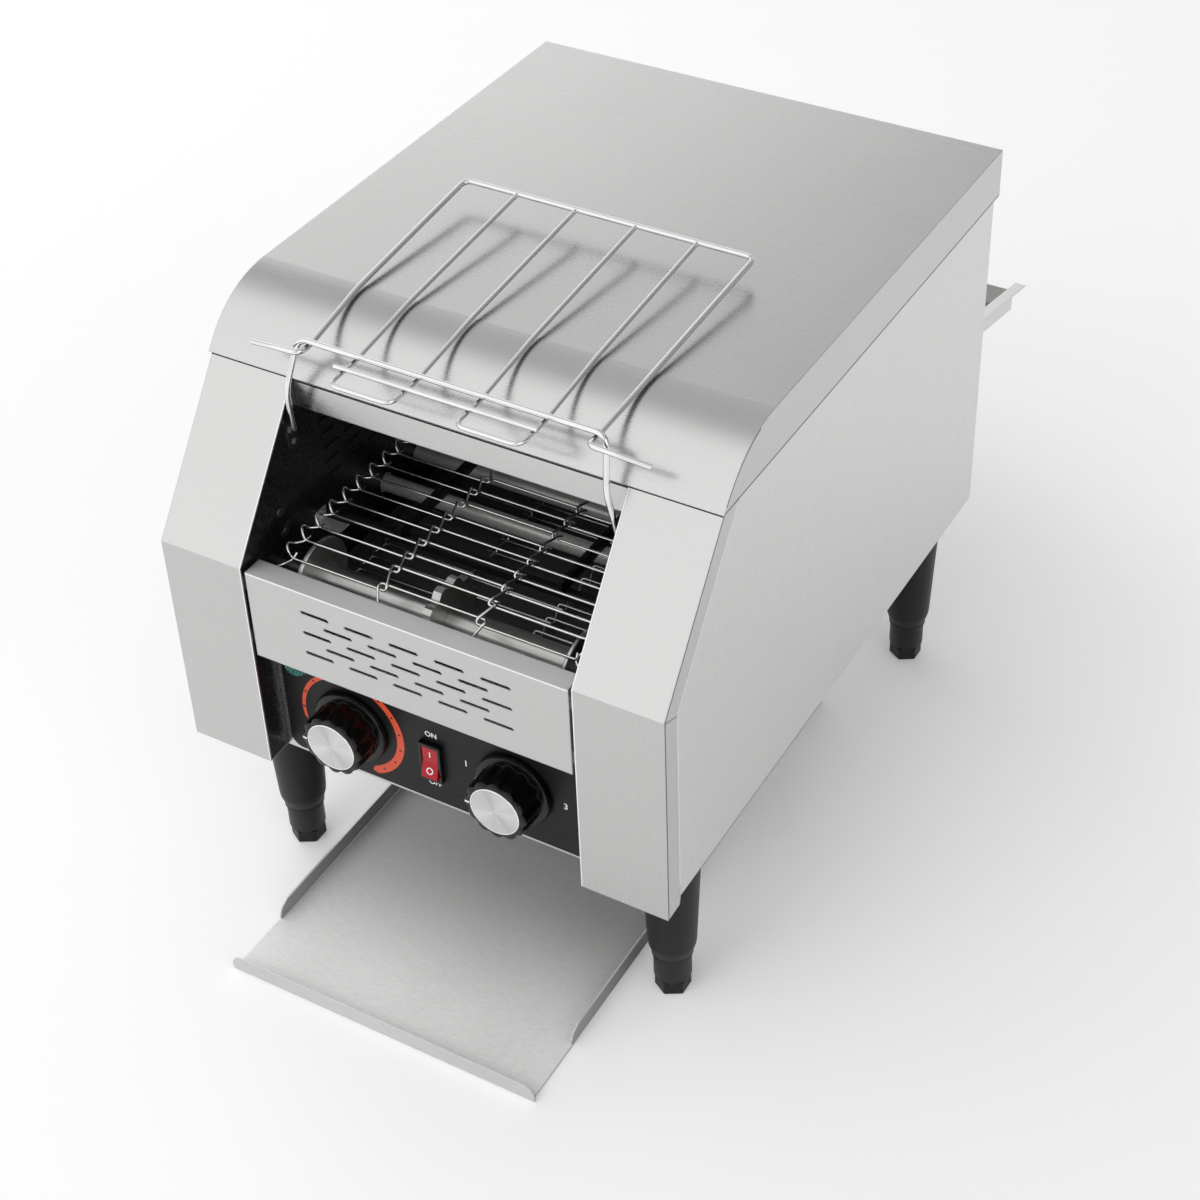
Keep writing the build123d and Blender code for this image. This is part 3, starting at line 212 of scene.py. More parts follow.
# Turned steel tube of the front roller: satin, with rings too fine to see.
ROLLER_STEEL = Finish("steel_turned_tube", "#c4c4c2", 1.0, 0.33, Grain.SPECKLE, (0.8, 0.8), 0.01, 0.02, 0.02,
                      0.3)
# Pressed spring steel of the rail clips, bright rolled.
CLIP_STEEL = Finish("spring_steel_rolled", "#e6e6e4", 0.65, 0.28, Grain.SPECKLE, (0.6, 0.6), 0.05, 0.05, 0.04,
                    0.3)
# Steel sheet with baked black heat-proof enamel: deep black with a soft sheen and a slight orange peel.
BLACK_ENAMEL = Finish("black_baked_enamel", "#161616", 0.0, 0.30, Grain.SPECKLE, (2.5, 2.5), 0.10, 0.10, 0.25,
                      0.4)
# Zinc-plated steel that heat has darkened: dark grey, half matt.
SCORCHED = Finish("heat_darkened_steel", "#2d2d2c", 0.7, 0.50, Grain.SPECKLE, (4.0, 4.0), 0.05, 0.10, 0.20,
                  0.4)
# Aluminised steel plate under the belt's lower run, dulled by heat: dark grey, matt.
DULL_PLATE = Finish("aluminised_steel_dulled", "#5a5a59", 0.35, 0.60, Grain.SPECKLE, (3.0, 3.0), 0.05, 0.08,
                    0.12, 0.4)
# Painted shade: a dark line painted along sheet edges and joints where shade falls, as wide as the sheet is
# thick.
PAINTED_EDGE_SHADE = Finish("painted_edge_shadow", "#58595b", 0.8, 0.50)
# Painted shade: a black filler laid in the deep gap between two sheets, where next to no light comes back.
GAP_SHADE = Finish("painted_gap_shade", "#0c0c0c", 0.0, 0.80)
# Painted highlight: a thin bright line painted along the outer side of a tight bend, where it catches light.
PAINTED_BEND_HIGHLIGHT = Finish("painted_bend_highlight", "#f6f6f5", 0.55, 0.30)
# Blackened steel of screws and small brackets: its rounded heads catch one small light.
BLACK_SCREW = Finish("black_oxide_steel", "#4a4a4a", 0.8, 0.28, edge_mm=0.3)
# Glass-filled phenolic, moulded in a polished tool: jet black with sharp, narrow highlights.
BLACK_PLASTIC = Finish("phenolic_moulded", "#060606", 0.0, 0.22, Grain.SPECKLE, (0.5, 0.5), 0.04, 0.04, 0.1,
                       0.6, ior=1.6, specular=0.25)
# Polyamide, moulded in an eroded tool: charcoal with a fine dull grain.
LEG_PLASTIC = Finish("polyamide_moulded", "#0a0a0a", 0.0, 0.46, Grain.SPECKLE, (0.6, 0.6), 0.14, 0.08, 0.12,
                     0.7, ior=1.53, specular=0.3)
# Polycarbonate film printed black on its back: charcoal with an even, fine satin texture.
LABEL_BLACK = Finish("polycarbonate_film", "#151515", 0.0, 0.42, Grain.SPECKLE, (0.35, 0.35), 0.05, 0.04,
                     0.06, ior=1.58, specular=0.18)
# Screen-printed inks: flat and opaque, a shade rougher than the film.
PRINT_WHITE = Finish("white_screen_ink", "#ececec", 0.0, 0.5)
PRINT_ORANGE = Finish("orange_screen_ink", "#dc4f28", 0.0, 0.45)
PRINT_DARK = Finish("dark_screen_ink", "#1d1412", 0.0, 0.5)
# Anodised aluminium disc, spun: its gloss fans out from its middle, and soft light and dark wedges are
# painted into its colour as well, a painted reflection.
SPUN_CAP = Finish("anodised_aluminium_spun", "#dcdcdc", 1.0, 0.28, Grain.SPUN, (0.35, 0.35), 0.08, 0.05, 0.04,
                  0.2, 0.8)
# Bright cut rim of the disc, one thin mirror line.
CUT_RIM = Finish("anodised_aluminium_cut", "#f0f0f0", 1.0, 0.14)
# Polycarbonate of the switch paddle, moulded glossy: deep red with crisp highlights.
ROCKER_RED = Finish("polycarbonate_red_glossy", "#ab0d1b", 0.0, 0.26, edge_mm=0.5, coat=0.1, ior=1.58,
                    specular=0.22)
# Acrylic lens moulded with small pyramids: bottle green, each pyramid with one bright and one dark side.
LAMP_GREEN = Finish("acrylic_lens_green", "#0b6157", 0.0, 0.12, glow=0.05, coat=0.6, ior=1.49)
# Fused quartz tube, sand-blasted: pale satin grey.
QUARTZ = Finish("quartz_frosted", "#dddcd9", 0.45, 0.32, Grain.SPECKLE, (2.0, 2.0), 0.05, 0.08, 0.08,
                ior=1.46)
# Steatite ceramic, pressed and fired: off-white and chalky.
CERAMIC = Finish("steatite_fired", "#d9d3c4", 0.0, 0.45, Grain.SPECKLE, (0.5, 0.5), 0.1, 0.05, 0.06, 0.4,
                 ior=1.6)
# Ceramic-fibre blanket, needled: fluffy, no highlight.
FIBRE = Finish("fibre_blanket_needled", "#cfc9bb", 0.0, 0.9, Grain.SPECKLE, (1.5, 1.5), 0.5, 0.0, 0.1)
# Sintered bronze of the bushes: warm brown metal with open pores.
BRONZE = Finish("bronze_sintered", "#9a7a45", 1.0, 0.38, Grain.SPECKLE, (0.4, 0.4), 0.1, 0.05, 0.1, 0.3)
# Circuit board of glass fibre under green lacquer: dark green with a faint weave.
GREEN_BOARD = Finish("circuit_board_lacquered", "#14492c", 0.0, 0.35, Grain.SPECKLE, (0.8, 0.8), 0.04, 0.05,
                     0.15, 0.3)
# Grey ABS of the cam switch, moulded: mid grey, half matt.
GREY_PLASTIC = Finish("abs_grey_moulded", "#55565a", 0.0, 0.45, Grain.SPECKLE, (0.5, 0.5), 0.06, 0.05, 0.06,
                      0.4, ior=1.53)
# Die-cast aluminium of the gear motor, powder coated: dark grey with a pebbled skin.
MOTOR_GREY = Finish("cast_aluminium_coated", "#2c2d30", 0.1, 0.48, Grain.SPECKLE, (0.9, 0.9), 0.2, 0.06, 0.08,
                    0.5)
# Seamless background paper: white and quite matt.
FLOOR_PAPER = Finish("floor_paper", "#f8f8f8", 0.0, 0.9)

FINISH_NODES: dict[Finish, str] = {
    STEEL_X: "top_cover opening_fascia control_panel rear_panel toast_chute",
    STEEL_Y: "base_plate rear_catch_tray",
    STEEL_Z: "right_side_panel left_side_panel",
    STEEL_FRONT: "right_cheek left_cheek",
    STEEL_GUARD: "front_grille",
    STEEL_TRAY: "toast_tray",
    STEEL_PLAIN: "control_shield drive_shaft idler_roller motor_sprocket drive_chain motor_bracket "
                 "upper_reflector",
    DULL_PLATE: "lower_reflector",
    BLACK_ENAMEL: "right_inner_wall left_inner_wall",
    SCORCHED: "belt_rails",
    CHROME: "rack_post wire_rack",
    BELT_STEEL: "conveyor_belt",
    BRONZE: "front_left_bearing front_right_bearing rear_left_bearing rear_right_bearing",
    QUARTZ: "lower_heating_tubes upper_heating_tubes",
    CERAMIC: "lower_tube_holders upper_tube_holders terminal_block",
    FIBRE: "insulation_blanket",
    MOTOR_GREY: "drive_motor",
    BLACK_PLASTIC: "fan_frame fan_rotor cord_gland rocker_housing speed_knob selector_knob",
    SPUN_CAP: "speed_knob_cap selector_knob_cap",
    PRINT_WHITE: "speed_knob_pointer selector_knob_pointer",
    LABEL_BLACK: "control_overlay",
    ROCKER_RED: "rocker",
    LAMP_GREEN: "pilot_lamp",
    GREEN_BOARD: "speed_controller",
    GREY_PLASTIC: "selector_switch",
    LEG_PLASTIC: "legs front_left_foot front_right_foot rear_left_foot rear_right_foot",
}
NODE_FINISH = {node: finish for finish, nodes in FINISH_NODES.items() for node in nodes.split()}


def linear(colour: str) -> tuple[float, float, float, float]:
    """Turn an sRGB hex colour into linear RGBA.

    Args:
        colour: Colour such as "#a0b0c0".

    Returns:
        Red, green, blue and alpha in linear light.
    """
    values = [int(colour[k:k + 2], 16) / 255 for k in (1, 3, 5)]
    red, green, blue = (v / 12.92 if v <= 0.04045 else ((v + 0.055) / 1.055) ** 2.4 for v in values)
    return red, green, blue, 1.0


class NodeGraph:
    """Thin wrapper that adds and links shader nodes.

    Args:
        tree: Node tree to build in.
        keep: Whether the nodes it has stay.
    """

    def __init__(self, tree: bpy.types.NodeTree, keep: bool = False) -> None:
        """Take the tree, emptied unless its nodes are kept."""
        self.tree = tree
        if not keep:
            tree.nodes.clear()

    def add(self, kind: str, inputs: dict[str | int, object] | None = None,
            **settings: object) -> bpy.types.Node:
        """Add one node.

        Args:
            kind: Node type such as "ShaderNodeBump".
            inputs: Socket name or number to a constant, or to an output socket to link.
            **settings: Node attributes.

        Returns:
            The new node.
        """
        node = self.tree.nodes.new(kind)
        for name, value in settings.items():
            setattr(node, name, value)
        for name, value in (inputs or {}).items():
            if isinstance(value, Socket):
                self.tree.links.new(value, node.inputs[name])
            else:
                node.inputs[name].default_value = value
        return node


def grain_scale(finish: Finish) -> Point:
    """Texture scale of a finish's grain.

    Args:
        finish: The finish.

    Returns:
        Scale per metre on X, Y and Z.
    """
    length, width = (1000.0 / size for size in finish.grain_mm)
    slanted = 1000.0 / 2.2        # on a face that leans back, Y runs partly along the grain
    return {
        Grain.ALONG_X: (length, width, width),
        Grain.ALONG_Y: (width, length, width),
        Grain.ALONG_Z: (width, width, length),
        Grain.DOWN_FRONT: (width, slanted, length),
    }.get(finish.grain, (width, width, width))


# Painted shading by the way a face looks, as painted dark lines along wires and painted shade and light on
# sheets: axis of its normal, what is done to it, where the change begins and ends.
PAINTED_WIRE_LINES = (("Z", "MULTIPLY", 0.10, 0.45), ("Y", "", 0.40, 0.70), ("X", "MULTIPLY", 0.60, 0.85))
PAINTED_SHEET_SHADING = (("X", "ABSOLUTE", 0.75, 0.95), ("Y", "MULTIPLY", 0.90, 0.98), ("Z", "", 0.90, 0.98))
# Painted reflection waves round a spun disc: number in one turn, phase in radians, amount.
PAINTED_SPUN_WAVES = ((2.0, 0.6, 0.55), (5.0, 1.9, 0.30), (9.0, 0.2, 0.15))
SPUN_RINGS = {"Scale": 700.0, "Distortion": 1.5, "Detail": 1.0}
MARKS = {"Scale": 1.0, "Detail": 3.0, "Roughness": 0.62}
CLOUDS = {"Scale": 9.0, "Detail": 2.0}        # broad, faint changes of tone
RELIEF_MM = 0.2


def painted_shading_share(graph: NodeGraph, finish: Finish) -> Socket | None:
    """Painted shade and light: share of the colour by the way a face looks, in the piece's own frame.

    Args:
        graph: Graph to add the nodes to.
        finish: The finish.

    Returns:
        The share, or None where it is the same all round.
    """
    if not finish.lines and finish.painted_shading_by_facing == (1.0, 1.0, 1.0):
        return None
    # Painted shade and light on sheets, by faces that look to a side, to the front and up.
    looks, left, join = PAINTED_SHEET_SHADING, finish.painted_shading_by_facing, "MULTIPLY"
    # Painted reflection on wires: darker where the wire looks down, back or to the left.
    if finish.lines:
        looks, left, join = PAINTED_WIRE_LINES, (1.0 - finish.lines,) * 3, "MINIMUM"
    normal = graph.add("ShaderNodeTexCoord").outputs["Normal"]
    ways = graph.add("ShaderNodeSeparateXYZ", {"Vector": normal}).outputs
    shares = []
    for (axis, turn, low, high), amount in zip(looks, left):
        value = ways[axis]
        if turn:
            value = graph.add("ShaderNodeMath", {0: value, 1: -1.0}, operation=turn).outputs[0]
        shares.append(graph.add("ShaderNodeMapRange", {
            "Value": value, "From Min": low, "From Max": high, "To Min": 1.0, "To Max": amount},
            interpolation_type="SMOOTHSTEP").outputs["Result"])
    total = shares[0]
    for share in shares[1:]:
        total = graph.add("ShaderNodeMath", {0: total, 1: share}, operation=join).outputs[0]
    return total


def painted_spun_wedges(graph: NodeGraph, coords: Socket) -> Socket:
    """Painted reflection: light and dark wedges painted into the colour, fanning out from the middle of a
    spun disc.

    Args:
        graph: Graph to add the nodes to.
        coords: Object coordinates, the disc's axis along Y.

    Returns:
        Share of the colour, between 0.74 and 1.
    """
    ways = graph.add("ShaderNodeSeparateXYZ", {"Vector": coords}).outputs
    turn = graph.add("ShaderNodeMath", {0: ways["Z"], 1: ways["X"]}, operation="ARCTAN2").outputs[0]
    parts = []
    for count, phase, amount in PAINTED_SPUN_WAVES:
        angle = graph.add("ShaderNodeMath", {0: turn, 1: count, 2: phase}, operation="MULTIPLY_ADD")
        wave = graph.add("ShaderNodeMath", {0: angle.outputs[0]}, operation="SINE").outputs[0]
        parts.append(graph.add("ShaderNodeMath", {0: wave, 1: amount}, operation="MULTIPLY").outputs[0])
    total = parts[0]
    for part in parts[1:]:
        total = graph.add("ShaderNodeMath", {0: total, 1: part}, operation="ADD").outputs[0]
    return graph.add("ShaderNodeMapRange", {"Value": total, "From Min": -1.0, "From Max": 0.8, "To Min": 0.74,
                                            "To Max": 1.0}).outputs["Result"]


def grained(graph: NodeGraph, finish: Finish, bevel: Socket | None) -> dict[str, Socket]:
    """Draw a finish's fine texture, its painted shadow ramp and its painted reflection wedges.

    Args:
        graph: Graph to add the nodes to.
        finish: The finish.
        bevel: Normal of the softened edges.

    Returns:
        Shader input to the socket that drives it.
    """
    driven: dict[str, Socket] = {}
    base = linear(finish.colour)
    coords = graph.add("ShaderNodeTexCoord").outputs["Object"]
    if finish.grain is Grain.SPUN:
        marks = graph.add("ShaderNodeTexWave", {"Vector": coords, **SPUN_RINGS}, wave_type="RINGS",
                          rings_direction="Y").outputs["Fac"]
        driven["Tangent"] = graph.add("ShaderNodeTangent", direction_type="RADIAL",
                                      axis="Y").outputs["Tangent"]
    else:
        place = graph.add("ShaderNodeMapping", {"Vector": coords, "Scale": grain_scale(finish)})
        marks = graph.add("ShaderNodeTexNoise", {"Vector": place.outputs["Vector"], **MARKS}).outputs["Fac"]
        if finish.anisotropy:
            looks = graph.add("ShaderNodeNewGeometry").outputs["Normal"]
            driven["Tangent"] = graph.add("ShaderNodeVectorMath", {0: (1.0, 0.02, 0.03), 1: looks},
                                          operation="CROSS_PRODUCT").outputs["Vector"]
    broad = graph.add("ShaderNodeTexNoise", {"Vector": coords, **CLOUDS}).outputs["Fac"]
    fine, cloudy = (graph.add("ShaderNodeMath", {0: value, 1: share}, operation="MULTIPLY").outputs[0]
                    for value, share in ((marks, 0.7), (broad, 0.3)))
    both = graph.add("ShaderNodeMath", {0: fine, 1: cloudy}, operation="ADD").outputs[0]
    driven["Roughness"] = graph.add("ShaderNodeMapRange", {
        "Value": both, "From Min": 0.3, "From Max": 0.7,
        "To Min": max(finish.roughness - finish.spread, 0.03),
        "To Max": finish.roughness + finish.spread}).outputs["Result"]
    dark = tuple(c * (1 - 2 * finish.tone) for c in base[:3]) + (1.0,)
    colour = graph.add("ShaderNodeMix", {"Factor": both, 6: dark, 7: base}, data_type="RGBA").outputs[2]
    # Painted shadow: the colour goes darker from one Y to another.
    start, full, left = finish.painted_shadow_ramp
    if left < 1:
        along = graph.add("ShaderNodeSeparateXYZ", {"Vector": coords}).outputs["Y"]
        share = graph.add("ShaderNodeMapRange", {
            "Value": along, "From Min": start * MM, "From Max": full * MM, "To Min": 1.0, "To Max": left},
            interpolation_type="SMOOTHSTEP").outputs["Result"]
        colour = graph.add("ShaderNodeVectorMath", {0: colour, "Scale": share},
                           operation="SCALE").outputs["Vector"]
    # Painted reflection: light and dark wedges scaled into a spun disc's colour.
    if finish.grain is Grain.SPUN:
        colour = graph.add("ShaderNodeVectorMath", {0: colour, "Scale": painted_spun_wedges(graph, coords)},
                           operation="SCALE").outputs["Vector"]
    driven["Base Color"] = colour
    bump: dict[str | int, object] = {
        "Height": marks, "Strength": finish.relief, "Distance": RELIEF_MM * MM}
    if bevel is not None:
        bump["Normal"] = bevel
    driven["Normal"] = graph.add("ShaderNodeBump", bump).outputs["Normal"]
    return driven


def build_material(finish: Finish) -> bpy.types.Material:
    """Make the procedural material of a finish.

    Args:
        finish: The finish.

    Returns:
        The material.
    """
    mat = bpy.data.materials.new(finish.name)
    mat.use_nodes = True
    graph = NodeGraph(mat.node_tree)
    base = linear(finish.colour)
    shader = graph.add("ShaderNodeBsdfPrincipled", {
        "Base Color": base, "Metallic": finish.metallic, "Roughness": finish.roughness,
        "Anisotropic": finish.anisotropy, "Coat Weight": finish.coat, "Coat Roughness": 0.08,
        "IOR": finish.ior, "Specular IOR Level": finish.specular,
        "Emission Color": base, "Emission Strength": finish.glow,
    })
    graph.add("ShaderNodeOutputMaterial", {"Surface": shader.outputs["BSDF"]})
    driven: dict[str, Socket] = {}
    if finish.edge_mm:
        driven["Normal"] = graph.add("ShaderNodeBevel", {"Radius": finish.edge_mm * MM},
                                     samples=4).outputs["Normal"]
    if finish.grain is not Grain.NONE:
        driven.update(grained(graph, finish, driven.get("Normal")))
    # Painted shade and light by the way a face looks, scaled into the colour.
    share = painted_shading_share(graph, finish)
    if share is not None:
        colour = driven.get("Base Color", base[:3])
        driven["Base Color"] = graph.add("ShaderNodeVectorMath", {0: colour, "Scale": share},
                                         operation="SCALE").outputs["Vector"]
    for name, socket in driven.items():
        graph.tree.links.new(socket, shader.inputs[name])
    return mat


class Paint:
    """Keeps one material per finish and puts it on objects."""

    def __init__(self) -> None:
        """Start with no materials."""
        self.made: dict[Finish, bpy.types.Material] = {}

    def coat(self, obj: bpy.types.Object, finish: Finish) -> None:
        """Give an object a finish.

        Args:
            obj: Mesh object.
            finish: The finish.
        """
        if finish not in self.made:
            self.made[finish] = build_material(finish)
        obj.data.materials.clear()
        obj.data.materials.append(self.made[finish])


# ------------------------------------------------------------------ geometry helpers
def linked(name: str, data: bpy.types.ID) -> bpy.types.Object:
    """Make an object and link it to the scene.

    Args:
        name: Its name.
        data: Its mesh, light or camera.

    Returns:
        The object.
    """
    obj = bpy.data.objects.new(name, data)
    bpy.context.scene.collection.objects.link(obj)
    return obj


def aimed(obj: bpy.types.Object, way: Vector, roll: float = 0.0) -> None:
    """Turn a light or camera."""
    obj.rotation_mode = "QUATERNION"
    obj.rotation_quaternion = way.to_track_quat("-Z", "Y") @ Quaternion((0, 0, 1), roll)


def polar(centre: Pair, radius: float, angle: float) -> Pair:
    """Point on a circle."""
    return centre[0] + radius * math.cos(angle), centre[1] + radius * math.sin(angle)


def span(way: int, near: float, far: float) -> list[float]:
    """Two distances on one side, in rising order."""
    return sorted((way * near, way * far))


def outward(way: int, rings: Iterable[Pair]) -> list[Pair]:
    """Profile on one side, in rising order along its axis."""
    return sorted(((radius, way * along) for radius, along in rings), key=lambda ring: ring[1])


def mirrored(path: Sequence[Point]) -> list[Point]:
    """Join a path to its mirror image in the middle plane."""
    return [(-x, y, z) for x, y, z in path[::-1]] + list(path)


def rect(low_a: float, high_a: float, low_b: float, high_b: float) -> list[Pair]:
    """Rectangle."""
    return [(low_a, low_b), (high_a, low_b), (high_a, high_b), (low_a, high_b)]


def softened(low_a: float, high_a: float, low_b: float, high_b: float, radius: float) -> list[Pair]:
    """Rectangle with rounded corners."""
    corners = rect(low_a + radius, high_a - radius, low_b + radius, high_b - radius)
    return [polar(corners[(k + 2) % 4], radius, math.radians(90 * k + step))
            for k in range(4) for step in (0, 30, 60, 90)]


def rounded(path: Sequence[Point], radius: float, steps: int = 3) -> list[Point]:
    """Round the corners of a path.

    Args:
        path: Corner points.
        radius: Length taken from each side of a corner.
        steps: Segments per corner.

    Returns:
        The path with each inner corner replaced by a short curve.
    """
    line = [Vector(p) for p in path]
    made: list[Point] = [tuple(line[0])]
    for before, corner, after in zip(line, line[1:], line[2:]):
        start, end = (corner + (near - corner).normalized() * min(radius, (near - corner).length * 0.48)
                      for near in (before, after))
        for t in (k / steps for k in range(steps + 1)):
            made.append(tuple(start * (1 - t) ** 2 + corner * 2 * t * (1 - t) + end * t ** 2))
    return made + [tuple(line[-1])]


def on_axis(axis: str, first: float, second: float, along: float) -> Point:
    """Put coordinates in order round an axis."""
    return {"X": (along, first, second), "Y": (first, along, second), "Z": (first, second, along)}[axis]


def ring_edges(rings: int, sides: int) -> list[tuple[int, int]]:
    """Edges of stacked rings of points."""
    return [(k * sides + j, k * sides + (j + 1) % sides) for k in range(rings - 1) for j in range(sides)]


@dataclass
class Shell:
    """Points in millimetres and faces gathered for one mesh."""

    points: list[Sequence[float]] = field(default_factory=list)
    faces: list[tuple[int, ...]] = field(default_factory=list)

    def add(self, points: Iterable[Sequence[float]], faces: Iterable[Sequence[int]]) -> None:
        """Append a piece.

        Args:
            points: Its points.
            faces: Its faces, counted from its own first point.
        """
        start = len(self.points)
        self.points.extend(points)
        self.faces.extend(tuple(start + k for k in f) for f in faces)

    def stack(self, points: Sequence[Sequence[float]], sides: int) -> None:
        """Add a closed body of stacked rings.

        Args:
            points: Points, ring after ring.
            sides: Points in each ring.
        """
        total = len(points)
        ends = [tuple(range(sides))[::-1], tuple(range(total - sides, total))]
        self.add(points, ends + [(a, b, b + sides, a + sides) for a, b in ring_edges(total // sides, sides)])

    def wire(self, path: Sequence[Point], radius: float, sides: int) -> None:
        """Add a round wire along a path, closed at both ends.

        Args:
            path: Centre points.
            radius: Wire radius.
            sides: Facets round the wire.
        """
        line = [Vector(p) for p in path]
        ways = [(b - a).normalized() for a, b in zip(line, line[1:])]
        mids = [ways[0]] + [(a + b).normalized() for a, b in zip(ways, ways[1:])] + [ways[-1]]
        side = mids[0].orthogonal().normalized()
        points: list[Vector] = []
        for k, (centre, way) in enumerate(zip(line, mids)):
            side = (side - way * side.dot(way)).normalized()
            other = way.cross(side)
            grow = 1.0
            if 0 < k < len(line) - 1:
                grow = 1.0 / max(math.cos(ways[k - 1].angle(ways[k]) / 2), 0.6)
            reach = radius * (grow if grow < 1.08 else 1.0)
            for a in (2 * math.pi * j / sides for j in range(sides)):
                points.append(centre + (side * math.cos(a) + other * math.sin(a)) * reach)
        self.stack(points, sides)

    def turned(self, centre: Pair, axis: str, profile: Sequence[Pair], segments: int,
               shape: Callable[[float, float], float] | None = None, capped: bool = True) -> None:
        """Add a body turned round an axis.

        Args:
            centre: The other two coordinates of the axis in XYZ order.
            axis: "X", "Y" or "Z".
            profile: (radius, place along the axis) from one end to the other.
            segments: Facets round the axis.
            shape: Optional radius as a function of radius and angle.
            capped: Whether the first and last rings are closed with flat faces.
        """
        points = []
        for radius, along in profile:
            for a in (2 * math.pi * j / segments for j in range(segments)):
                points.append(on_axis(axis, *polar(centre, shape(radius, a) if shape else radius, a), along))
        total = len(points)
        faces = [tuple(range(segments)), tuple(range(total - segments, total))[::-1]] if capped else []
        faces += [(a, a + segments, b + segments, b) for a, b in ring_edges(len(profile), segments)]
        if (axis == "Y") != (profile[0][1] > profile[-1][1]):
            faces = [f[::-1] for f in faces]
        self.add(points, faces)

    def slab(self, outline: Sequence[Pair], axis: str, low: float, high: float) -> None:
        """Add an extruded outline.

        Args:
            outline: The other two coordinates in XYZ order.
            axis: "X", "Y" or "Z".
            low: Lower end along the axis.
            high: Upper end along the axis.
        """
        count = len(outline)
        faces = [tuple(range(count))[::-1], tuple(range(count, 2 * count))]
        faces += [(a, b, count + b, count + a) for a, b in ring_edges(2, count)]
        area = sum(a[0] * b[1] - b[0] * a[1] for a, b in zip(outline, [*outline[1:], outline[0]]))
        if (area < 0) != (axis == "Y"):
            faces = [f[::-1] for f in faces]
        self.add([on_axis(axis, *pair, end) for end in (low, high) for pair in outline], faces)

    def build(self, name: str, smooth_deg: float = 30.0) -> bpy.types.Object:
        """Make the mesh object.

        Args:
            name: Object name.
            smooth_deg: Edges sharper than this stay sharp.

        Returns:
            The linked object, its origin at the row's origin.
        """
        mesh = bpy.data.meshes.new(name)
        mesh.from_pydata([tuple(c * MM for c in p) for p in self.points], [], self.faces)
        mesh.update()
        mesh.shade_smooth()
        mesh.set_sharp_from_angle(angle=math.radians(smooth_deg))
        return linked(name, mesh)


# ------------------------------------------------------------------ sub-assemblies
@dataclass
class SubAssembly:
    """Base of the toaster's sub-assemblies.

    Args:
        paint: Shared materials.
        made: Names of the pieces built.
    """

    paint: Paint
    made: list[str] = field(default_factory=list)

    def keep(self, obj: bpy.types.Object, finish: Finish, slot: str, body: str = "chassis",
             stands_in: bool = False) -> None:
        """Paint a piece and fasten it to its body.

        Args:
            obj: The piece.
            finish: Its finish.
            slot: CAD node that it goes with, hidden when it stands in.
            body: CAD body it rides on.
            stands_in: Whether it takes that node's place.
        """
        self.paint.coat(obj, finish)
        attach(obj, body)
        if stands_in:
            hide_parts(slot)
        self.made.append(obj.name)


@dataclass
class Belt(SubAssembly):
    """Round-wire belt on the same path as the part's linked strands, its end hooks bent up into arches."""

    corner_mm: float = 1.9
    sides: int = 8
    arch: float = 6.6
    hump: float = 2.6

    def joint(self, index: int) -> Pair:
        """Place of one hinge point of the belt loop.

        Args:
            index: Number of the joint from the top of the front roller.

        Returns:
            Y and Z.
        """
        under, step = divmod(index % Size.strands, Size.strands // 2)
        past = max(step - Size.straights, 0) * 2 * math.pi / Size.teeth
        middle = Size.idler_y + min(step, Size.straights) * Size.pitch
        y, z = polar((middle, Size.axle_z), Size.pitch_r, math.pi / 2 - past)
        return (Size.idler_y + Size.drive_y - y, 2 * Size.axle_z - z) if under else (y, z)

    def strand(self) -> list[Point]:
        """Centre line of one strand.

        Returns:
            Points (x, travel, height) from its left end to its right end.
        """
        far, near, rise = Size.pitch + Size.hook, -Size.hook, 0.5
        x, s, y = Size.edge_x, Size.slant, Size.pitch
        half = [(x - s, far, 0.0), (x - s * 0.7, y - 3.0, 0.6), (x + s * 0.8, y - 7.0, 1.2),
                (x + s * 1.5, 5.0, self.arch * 0.75), (x + s * 1.1, 1.8, self.arch),
                (x + s * 0.2, -1.2, self.arch * 0.7), (x - s * 0.5, near, 0.3), (x - s * 2, near, 0.0)]
        x = Size.bend_x
        half += [(x - s, near, 0.0), (x - s * 0.9, rise, self.hump), (x + s * 0.9, y - rise, self.hump),
                 (x + s, far, 0.0)]
        return mirrored(half[::-1])

    def build(self) -> None:
        """Wrap every strand round the two shafts."""
        shell = Shell()
        path = rounded(self.strand(), self.corner_mm)
        for k in range(Size.strands):
            (y0, z0), (y1, z1) = self.joint(k), self.joint(k + 1)
            dy, dz = (y1 - y0) / Size.pitch, (z1 - z0) / Size.pitch
            line = [(x, y0 + s * dy - h * dz, z0 + s * dz + h * dy) for x, s, h in path]
            shell.wire(line, Size.belt_wire / 2, self.sides)
        self.keep(shell.build("belt_wires", 60), BELT_STEEL, "conveyor_belt", stands_in=True)


